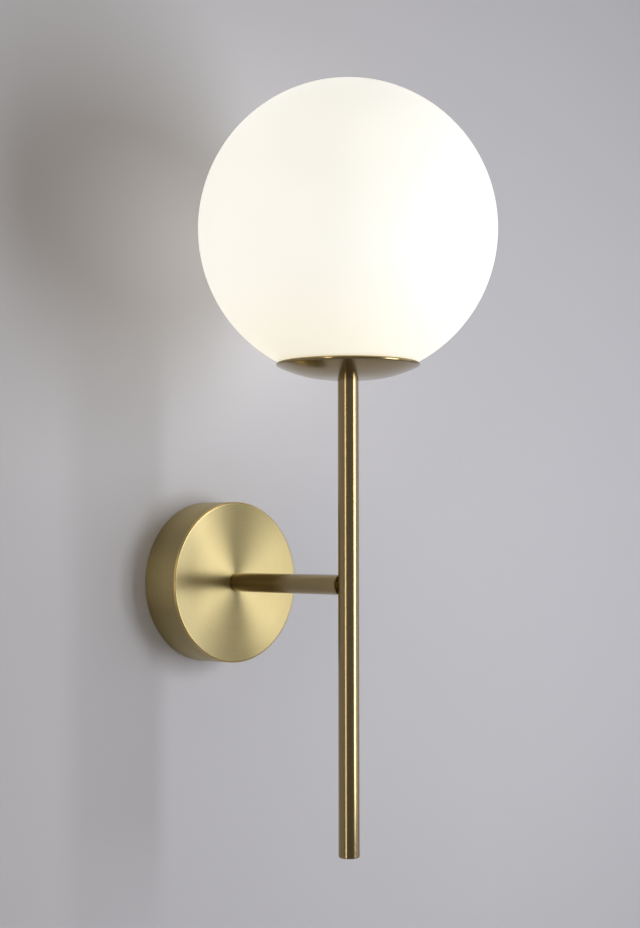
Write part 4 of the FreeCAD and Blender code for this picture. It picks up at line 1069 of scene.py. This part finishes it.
class SCONCE_OT_wires(bpy.types.Operator):
    """Lead the three insulated wires"""

    bl_idname = "sconce.wires"
    bl_label = "Wires"

    def execute(self, context):
        for node, (finish, slot, route) in WIRE_ROUTES.items():
            curve = bpy.data.curves.new(node + "_sleeve", "CURVE")
            curve.dimensions = "3D"
            curve.bevel_depth = context.scene.sconce_sizes.wire_diameter / 2
            curve.bevel_resolution = 4
            curve.use_fill_caps = True
            spline = curve.splines.new("NURBS")
            spline.points.add(len(route) - 1)
            for point, spot in zip(spline.points, route):
                point.co = (*(part * MM for part in spot), 1)
            spline.order_u = 3
            spline.use_endpoint_u = True
            spline.resolution_u = 12
            curve.materials.append(finish_of(finish))
            fit(put(node + "_sleeve", curve), "fixture", node)
        return {"FINISHED"}


# Studio

FLOOR = -0.62


def lamp(name, place, aim, size, watts, light_tone):
    """A soft rectangular lamp at a place, turned to its aim."""
    light = bpy.data.lights.new(name, "AREA")
    light.shape = "RECTANGLE"
    light.size, light.size_y = size
    light.energy = watts
    light.color = tone(light_tone)
    holder = put(name, light, place)
    holder.rotation_mode = "QUATERNION"
    holder.rotation_quaternion = (Vector(place) - Vector(aim)).to_track_quat("Z", "Y")


def wall_with_hole(half, low, high, hole):
    """The wall, with a round opening behind the canopy for light to reach its inside."""
    # The wall lies a little behind the canopy's rim
    back = 0.6 * MM
    model = bmesh.new()
    inner, outer = [], []
    for angle in ring(96):
        x, z = cos(angle), sin(angle)
        sideways = half / max(abs(x), CLOSE)
        upwards = (high if z > 0 else -low) / max(abs(z), CLOSE)
        reach = min(sideways, upwards)
        inner.append(model.verts.new((hole * x, back, hole * z)))
        outer.append(model.verts.new((reach * x, back, reach * z)))
    skin(model, [inner, outer])
    for side, end in ((1, high), (-1, high), (-1, low), (1, low)):
        spot = Vector((side * half, back, end))
        near = sorted(outer, key=lambda vert: (vert.co - spot).length)[:2]
        model.faces.new([*near, model.verts.new(spot)])
    bmesh.ops.recalc_face_normals(model, faces=model.faces)
    model.normal_update()
    model.faces.ensure_lookup_table()
    if model.faces[0].normal.y > 0:
        bmesh.ops.reverse_faces(model, faces=model.faces)
    put("wall", new_mesh("wall", model, "painted_plaster"))


def studio_air(scene):
    """Background that is pale behind the wall and grey in front of it.

    Eye, metal and glass see it alike. The room in front gives less light than that, so the ball's shadow
    stays deep.
    """
    world = bpy.data.worlds.new("studio_air")
    scene.world = world
    world.use_nodes = True
    tree = world.node_tree
    tree.nodes.clear()
    rays = add_node(tree, "LightPath").node.outputs
    links = {0: rays["Is Camera Ray"], 1: rays["Is Glossy Ray"]}
    either = add_node(tree, "Math", {"operation": "MAXIMUM"}, links)
    links = {0: either, 1: rays["Is Transmission Ray"]}
    seen = add_node(tree, "Math", {"operation": "MAXIMUM"}, links)
    front = add_node(tree, "Mix", two_tones(tone("dim_fill"), tone("dim_air")), {0: seen}, 2)
    towards = add_node(tree, "TexCoord", output="Generated")
    depth = add_node(tree, "SeparateXYZ", links={0: towards}, output=1)
    settings = {"interpolation_type": "SMOOTHSTEP", "From Min": -0.5, "From Max": 0.1}
    share = add_node(tree, "MapRange", settings, {"Value": depth})
    settings = {"data_type": "RGBA", 7: opaque(tone("pale_air"))}
    air = add_node(tree, "Mix", settings, {0: share, 6: front}, output=2)
    add_node(tree, "OutputWorld", links={0: add_node(tree, "Background", links={"Color": air})})


class SCONCE_OT_stage(bpy.types.Operator):
    """Set the wall, the floor, the soft lamps and the camera"""

    bl_idname = "sconce.stage"
    bl_label = "Stage"

    def execute(self, context):
        scene = context.scene
        studio = scene.sconce_studio
        wall_with_hole(2.2, FLOOR, 2.2, 0.052)
        mesh = bpy.data.meshes.new("floor")
        corners = [(-3, -3.2, FLOOR), (3, -3.2, FLOOR), (3, 3.2, FLOOR), (-3, 3.2, FLOOR)]
        mesh.from_pydata(corners, [], [(0, 1, 2, 3)])
        mesh.materials.append(finish_of("pale_floor"))
        put("floor", mesh)
        rod = (0, -0.144, 0.1)
        key = ((0.47, -1.03, 0.07), (-0.02, -0.05, 0.1), (0.42, 0.75), studio.key, "key_light")
        lamp("key_softbox", *key)
        lamp("left_strip", (-1.17, -0.41, 0.1), rod, (0.2, 1.3), studio.left_strip, "strip_light")
        lamp("right_wash", (1.45, -0.88, 0.1), rod, (0.8, 1.6), studio.right_wash, "key_light")
        lamp("overhead", (-0.1, -0.9, 1.7), (0, -0.1, 0.1), (1.2, 1.2), studio.overhead, "fill_light")
        lamp("back_fill", (0.25, 1.0, 0.35), (0, 0, 0), (0.8, 0.8), studio.back_fill, "key_light")
        studio_air(scene)
        camera = bpy.data.cameras.new("photo_camera")
        camera.lens = studio.lens
        camera.sensor_width = 36
        camera.clip_start = 0.05
        camera.clip_end = 50
        scene.camera = put("photo_camera", camera, studio.camera_place)
        turn = Euler((pi / 2 + studio.camera_tilt, 0, studio.camera_turn), "XYZ").to_matrix()
        scene.camera.rotation_euler = (turn @ Matrix.Rotation(-studio.camera_roll, 3, "Z")).to_euler()
        scene.view_settings.view_transform = "Standard"
        return {"FINISHED"}


# The stage comes first, and the pieces follow from the wall outwards
STEPS = (
    SCONCE_OT_stage,
    SCONCE_OT_canopy,
    SCONCE_OT_arm,
    SCONCE_OT_rod,
    SCONCE_OT_dish,
    SCONCE_OT_globe,
    SCONCE_OT_bulb,
    SCONCE_OT_lampholder,
    SCONCE_OT_globe_clips,
    SCONCE_OT_nipples,
    SCONCE_OT_set_screws,
    SCONCE_OT_bracket,
    SCONCE_OT_tube_fittings,
    SCONCE_OT_wires,
)


class SCONCE_PT_sidebar(bpy.types.Panel):
    """Lists the sizes, the colours and one button for each piece"""

    bl_label = "Globe wall sconce"
    bl_idname = "SCONCE_PT_sidebar"
    bl_space_type = "VIEW_3D"
    bl_region_type = "UI"
    bl_category = "Sconce"

    def draw(self, context):
        for group in (context.scene.sconce_sizes, context.scene.sconce_colours, context.scene.sconce_studio):
            box = self.layout.box()
            for name in group.__annotations__:
                box.prop(group, name)
        for step in STEPS:
            self.layout.operator(step.bl_idname)


GROUPS = {
    "sconce_sizes": SconceSizes,
    "sconce_colours": SconceColours,
    "sconce_studio": SconceStudio,
}


def register():
    """Make the classes and their settings known."""
    for name, group in GROUPS.items():
        bpy.utils.register_class(group)
        setattr(bpy.types.Scene, name, PointerProperty(type=group))
    for kind in (*STEPS, SCONCE_PT_sidebar):
        bpy.utils.register_class(kind)


def unregister():
    """Take the classes and their settings away."""
    for kind in reversed((*STEPS, SCONCE_PT_sidebar)):
        bpy.utils.unregister_class(kind)
    for name, group in reversed(GROUPS.items()):
        delattr(bpy.types.Scene, name)
        bpy.utils.unregister_class(group)


def main():
    """Make every piece."""
    register()
    for step in STEPS:
        family, name = step.bl_idname.split(".")
        getattr(getattr(bpy.ops, family), name)()


if __name__ == "__main__":
    main()
